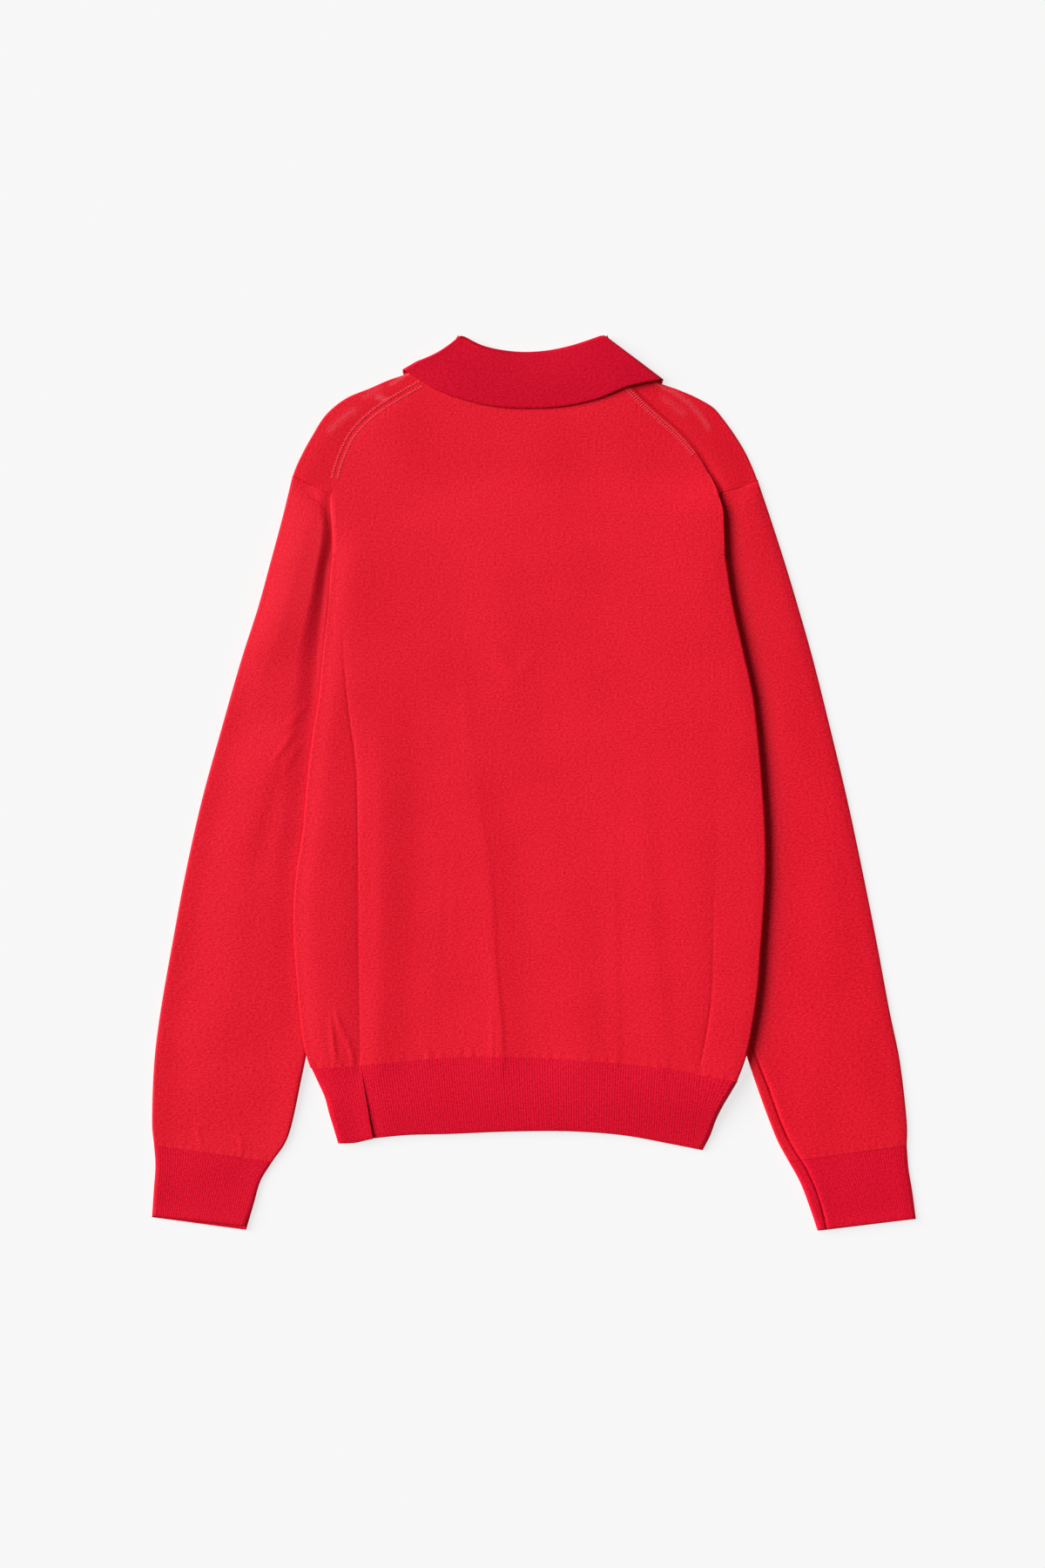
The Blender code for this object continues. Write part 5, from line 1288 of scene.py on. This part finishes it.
def knit_finish(name, colour, wale, course, specular, depth, ribs=0.0, pale=False):
    """Plain knit: columns of V stitches in an uneven yarn, with painted highlight where its loops
    stand up.

    wale and course are a stitch's width and height, and depth that of its relief, in mm. ribs
    adds painted shade between the columns. pale adds the shoulders' lines with painted shade
    between them, and paler places.
    """
    look = Finish(name, 0.5, sheen=0.015, specular=specular)
    place = look.add("TexCoord", {}, output=3)
    marks = look.add("UVMap", {}, uv_map="Knit")
    across_knit = look.add("SeparateXYZ", {0: marks})
    along_knit = across_knit.node.outputs[1]
    drift = look.noise(place, 190.0, 2.0)
    wobble = look.range(drift, 0.3, 0.7, -0.35, 0.35)
    across = look.sum("ADD", look.sum("DIVIDE", across_knit, wale * MM), wobble)
    along = look.sum("ADD", look.sum("DIVIDE", along_knit, course * MM), wobble)
    off_middle = look.sum("ABSOLUTE", look.sum("SUBTRACT", look.sum("FRACT", across), 0.5))
    leg = look.sum("SINE", look.sum("MULTIPLY", off_middle, 2 * math.pi))
    slant = look.sum("FRACT", look.sum("ADD", along, look.sum("MULTIPLY", off_middle, 1.1)))
    loop = look.sum("MULTIPLY", leg, look.sum("SINE", look.sum("MULTIPLY", slant, math.pi)))
    scale = (1 / (YARN_ACROSS * MM), 1 / (YARN_ALONG * MM), 1.0)
    streaks = look.add("Mapping", {"Vector": marks, "Scale": scale})
    yarn = look.noise(streaks, 1.0, 3.0, 0.65)
    patchy = look.noise(place, 16.0, 3.0, 0.6)
    grain = look.range(yarn, 0.3, 0.7, -0.5, 0.5)
    # painted highlight on the loops' crests and painted shade between them, with the yarn's random
    # grain and patches
    tone = look.sum("ADD", look.sum("MULTIPLY", loop, 0.2), grain)
    tone = look.sum("ADD", tone, look.range(patchy, 0.3, 0.7, -0.05, 0.05))
    # the random tone runs from a darker yarn with painted shade to a paler one with a painted pink
    # sheen
    deep = tuple(c * share for c, share in zip(colour, DARK_YARN_AND_SHADE)) + (1,)
    lit = tuple(min(c * share, 1) for c, share in zip(colour, PALE_YARN_AND_SHEEN)) + (1,)
    shade = look.mix(look.range(tone, -0.45, 0.6), deep, lit)
    if ribs:
        # painted shade in the valleys between the ribs
        valley = look.sum("MULTIPLY", look.sum("POWER", look.sum("SUBTRACT", 1.0, leg), 2.0), ribs)
        shade = look.mix(valley, shade, tuple(c * RIB_VALLEY_SHADE for c in colour) + (1,))
    if pale:
        # painted shade between the shoulders' lines
        columns = look.add("Attribute", {}, output=2, attribute_name="LineShade")
        turn = 2 * math.pi / (SHOULDER_LINE_PITCH * MM)
        line_up = look.sum("SINE", look.sum("MULTIPLY", across_knit, turn))
        lines = look.sum("MULTIPLY", columns, look.range(line_up, -1, 1, 0, SHOULDER_LINE_CONTRAST))
        between = tuple(c * share for c, share in zip(colour, SHADE_BETWEEN_LINES)) + (1,)
        shade = look.mix(lines, shade, between)
        paleness = look.add("Attribute", {}, output=2, attribute_name="Paleness")
        mottled = look.sum("MULTIPLY", paleness, look.range(yarn, 0.35, 0.6, 0.25, 1.0))
        shade = look.mix(mottled, shade, PALE_RED + (1,))
    look.paint(shade)
    look.emboss(0.5, depth, look.sum("ADD", loop, look.sum("MULTIPLY", grain, 2.6)))
    return look.material


def tape_finish():
    """Close woven tape of the zip, in the knit's own red."""
    look = Finish("woven tape", 0.75, sheen=0.1, specular=0.25)
    place = look.add("TexCoord", {}, output=3)
    split = look.add("SeparateXYZ", {0: place})
    warp = look.sum("SINE", look.sum("MULTIPLY", split.node.outputs[0], 2 * math.pi / (0.9 * MM)))
    weft = look.sum("SINE", look.sum("MULTIPLY", split.node.outputs[1], 2 * math.pi / (0.7 * MM)))
    weave = look.sum("MULTIPLY", warp, weft)
    uneven = look.range(look.noise(place, 700.0, 2.0), 0.3, 0.7, -0.4, 0.4)
    tone = look.range(look.sum("ADD", weave, uneven), -1.2, 1.2)
    look.paint(look.mix(tone, TAPE_DARK + (1,), TAPE_LIGHT + (1,)))
    look.emboss(0.4, 0.15, weave)
    return look.material


def thread_finish():
    """Sewing thread with a fine twist."""
    look = Finish("sewing thread", 0.6, sheen=0.02, specular=0.15)
    place = look.add("TexCoord", {}, output=3)
    split = look.add("SeparateXYZ", {0: place})
    turns = look.sum("ADD", split.node.outputs[0], split.node.outputs[1])
    twist = look.sum("SINE", look.sum("MULTIPLY", turns, 2 * math.pi / (0.5 * MM)))
    dark = tuple(c * 0.8 for c in STITCH_RED) + (1,)
    look.paint(look.mix(look.range(twist, -1, 1), dark, STITCH_RED + (1,)))
    look.emboss(0.4, 0.1, twist)
    return look.material


def metal_finish(name, colour, roughness, brushed):
    """Satin metal with fine lines along Y and a few duller places."""
    look = Finish(name, roughness, metallic=1.0)
    place = look.add("TexCoord", {}, output=3)
    lines = look.add("Mapping", {"Vector": place, "Scale": (1.0, 0.05, 1.0)})
    brush = look.noise(lines, 5200.0, 2.0)
    dull = look.noise(place, 240.0, 3.0)
    tone = look.range(dull, 0.35, 0.7)
    look.paint(look.mix(tone, colour + (1,), tuple(c * 0.82 for c in colour) + (1,)))
    duller = look.range(dull, 0.3, 0.7, roughness - 0.06, roughness + 0.12)
    look.feed(look.shader.inputs["Roughness"], duller)
    look.emboss(brushed, 0.04, brush)
    return look.material


plain_knit = knit_finish("plain knit", RED["plain"], 1.35, 1.0, 0.11, 0.16, pale=True)
rib_knit = knit_finish("rib knit", RED["rib"], RIB_PITCH, 1.1, 0.06, 0.09, ribs=0.1)
collar_knit = knit_finish("collar knit", RED["collar"], 1.1, 0.85, 0.05, 0.15)
thread = thread_finish()
tape = tape_finish()
slider_metal = metal_finish("slider metal", (0.62, 0.60, 0.56), 0.28, 0.25)
teeth_metal = metal_finish("teeth metal", (0.60, 0.58, 0.54), 0.32, 0.15)

# ---- the sweater ----------------------------------------------------------------------------

back = make_back(plain_knit)
front = make_front(plain_knit)
back_hem = make_hem_back(rib_knit)
front_hem = make_hem_front(rib_knit)
sleeves = {side: make_sleeve(side, name + "_sleeve", plain_knit, "sleeve_" + name)
           for side, name in ((-1, "left"), (1, "right"))}
cuffs = {side: make_cuff(side, name + "_cuff_rib", rib_knit, "cuff_" + name)
         for side, name in ((-1, "left"), (1, "right"))}
collar = make_collar(collar_knit)
sewing = make_sewing(thread)
teeth = make_teeth(teeth_metal)

for node, look in (("zip_tape_left", tape), ("zip_tape_right", tape), ("zip_slider", slider_metal),
                   ("zip_pull", slider_metal)):
    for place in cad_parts[node].material_slots:
        place.material = look

# ---- floor, light and camera ----------------------------------------------------------------

FLOOR_GREY, FLOOR_GLOW = 0.20, 0.735
FLOOR_HALF_SIZE, FLOOR_Z = 6, -0.0003      # in metres
WORLD_LIGHT = 0.12

floor_look = Finish("pale floor", 0.9, specular=0.1)
floor_look.paint((FLOOR_GREY, FLOOR_GREY, FLOOR_GREY, 1))
floor_look.feed(floor_look.shader.inputs["Emission Color"], (1, 1, 1, 1))
floor_look.feed(floor_look.shader.inputs["Emission Strength"], FLOOR_GLOW)
floor_shape = bmesh.new()
bmesh.ops.create_grid(floor_shape, x_segments=1, y_segments=1, size=FLOOR_HALF_SIZE)
bmesh.ops.translate(floor_shape, verts=floor_shape.verts, vec=(0, 0, FLOOR_Z))
floor_mesh = bpy.data.meshes.new("floor")
floor_shape.to_mesh(floor_mesh)
floor_shape.free()
floor_mesh.materials.append(floor_look.material)
floor = bpy.data.objects.new("floor", floor_mesh)
bpy.context.collection.objects.link(floor)


def sun(name, strength, spread, elevation, heading):
    """A broad soft light far away; heading is where it comes from, turned from +X towards +Y."""
    lamp = bpy.data.lights.new(name, "SUN")
    lamp.energy, lamp.angle = strength, math.radians(spread)
    made = bpy.data.objects.new(name, lamp)
    made.rotation_euler = (0, math.radians(90 - elevation), math.radians(heading))
    bpy.context.collection.objects.link(made)


sun("soft key", strength=4.65, spread=48, elevation=35, heading=160)
world = bpy.data.worlds.new("studio")
world.use_nodes = True
background = world.node_tree.nodes["Background"].inputs
background["Color"].default_value, background["Strength"].default_value = (1, 1, 1, 1), WORLD_LIGHT
bpy.context.scene.world = world
bpy.context.scene.view_settings.view_transform = "Standard"

lens = bpy.data.cameras.new("camera")
camera = bpy.data.objects.new("camera", lens)
VIEW_X, VIEW_Y, VIEW_HEIGHT = -0.0101, -0.00075, 2.5       # straight above the frame's middle
VIEW_LONG, VIEW_LEVEL = 1.35, 0.005        # the frame's long side at the cloth's usual height
FILM = 36
camera.location = (VIEW_X, VIEW_Y, VIEW_HEIGHT)
lens.sensor_width = FILM
lens.lens = FILM / 2 / math.tan(math.atan(VIEW_LONG / 2 / (VIEW_HEIGHT - VIEW_LEVEL)))
bpy.context.collection.objects.link(camera)
bpy.context.scene.camera = camera
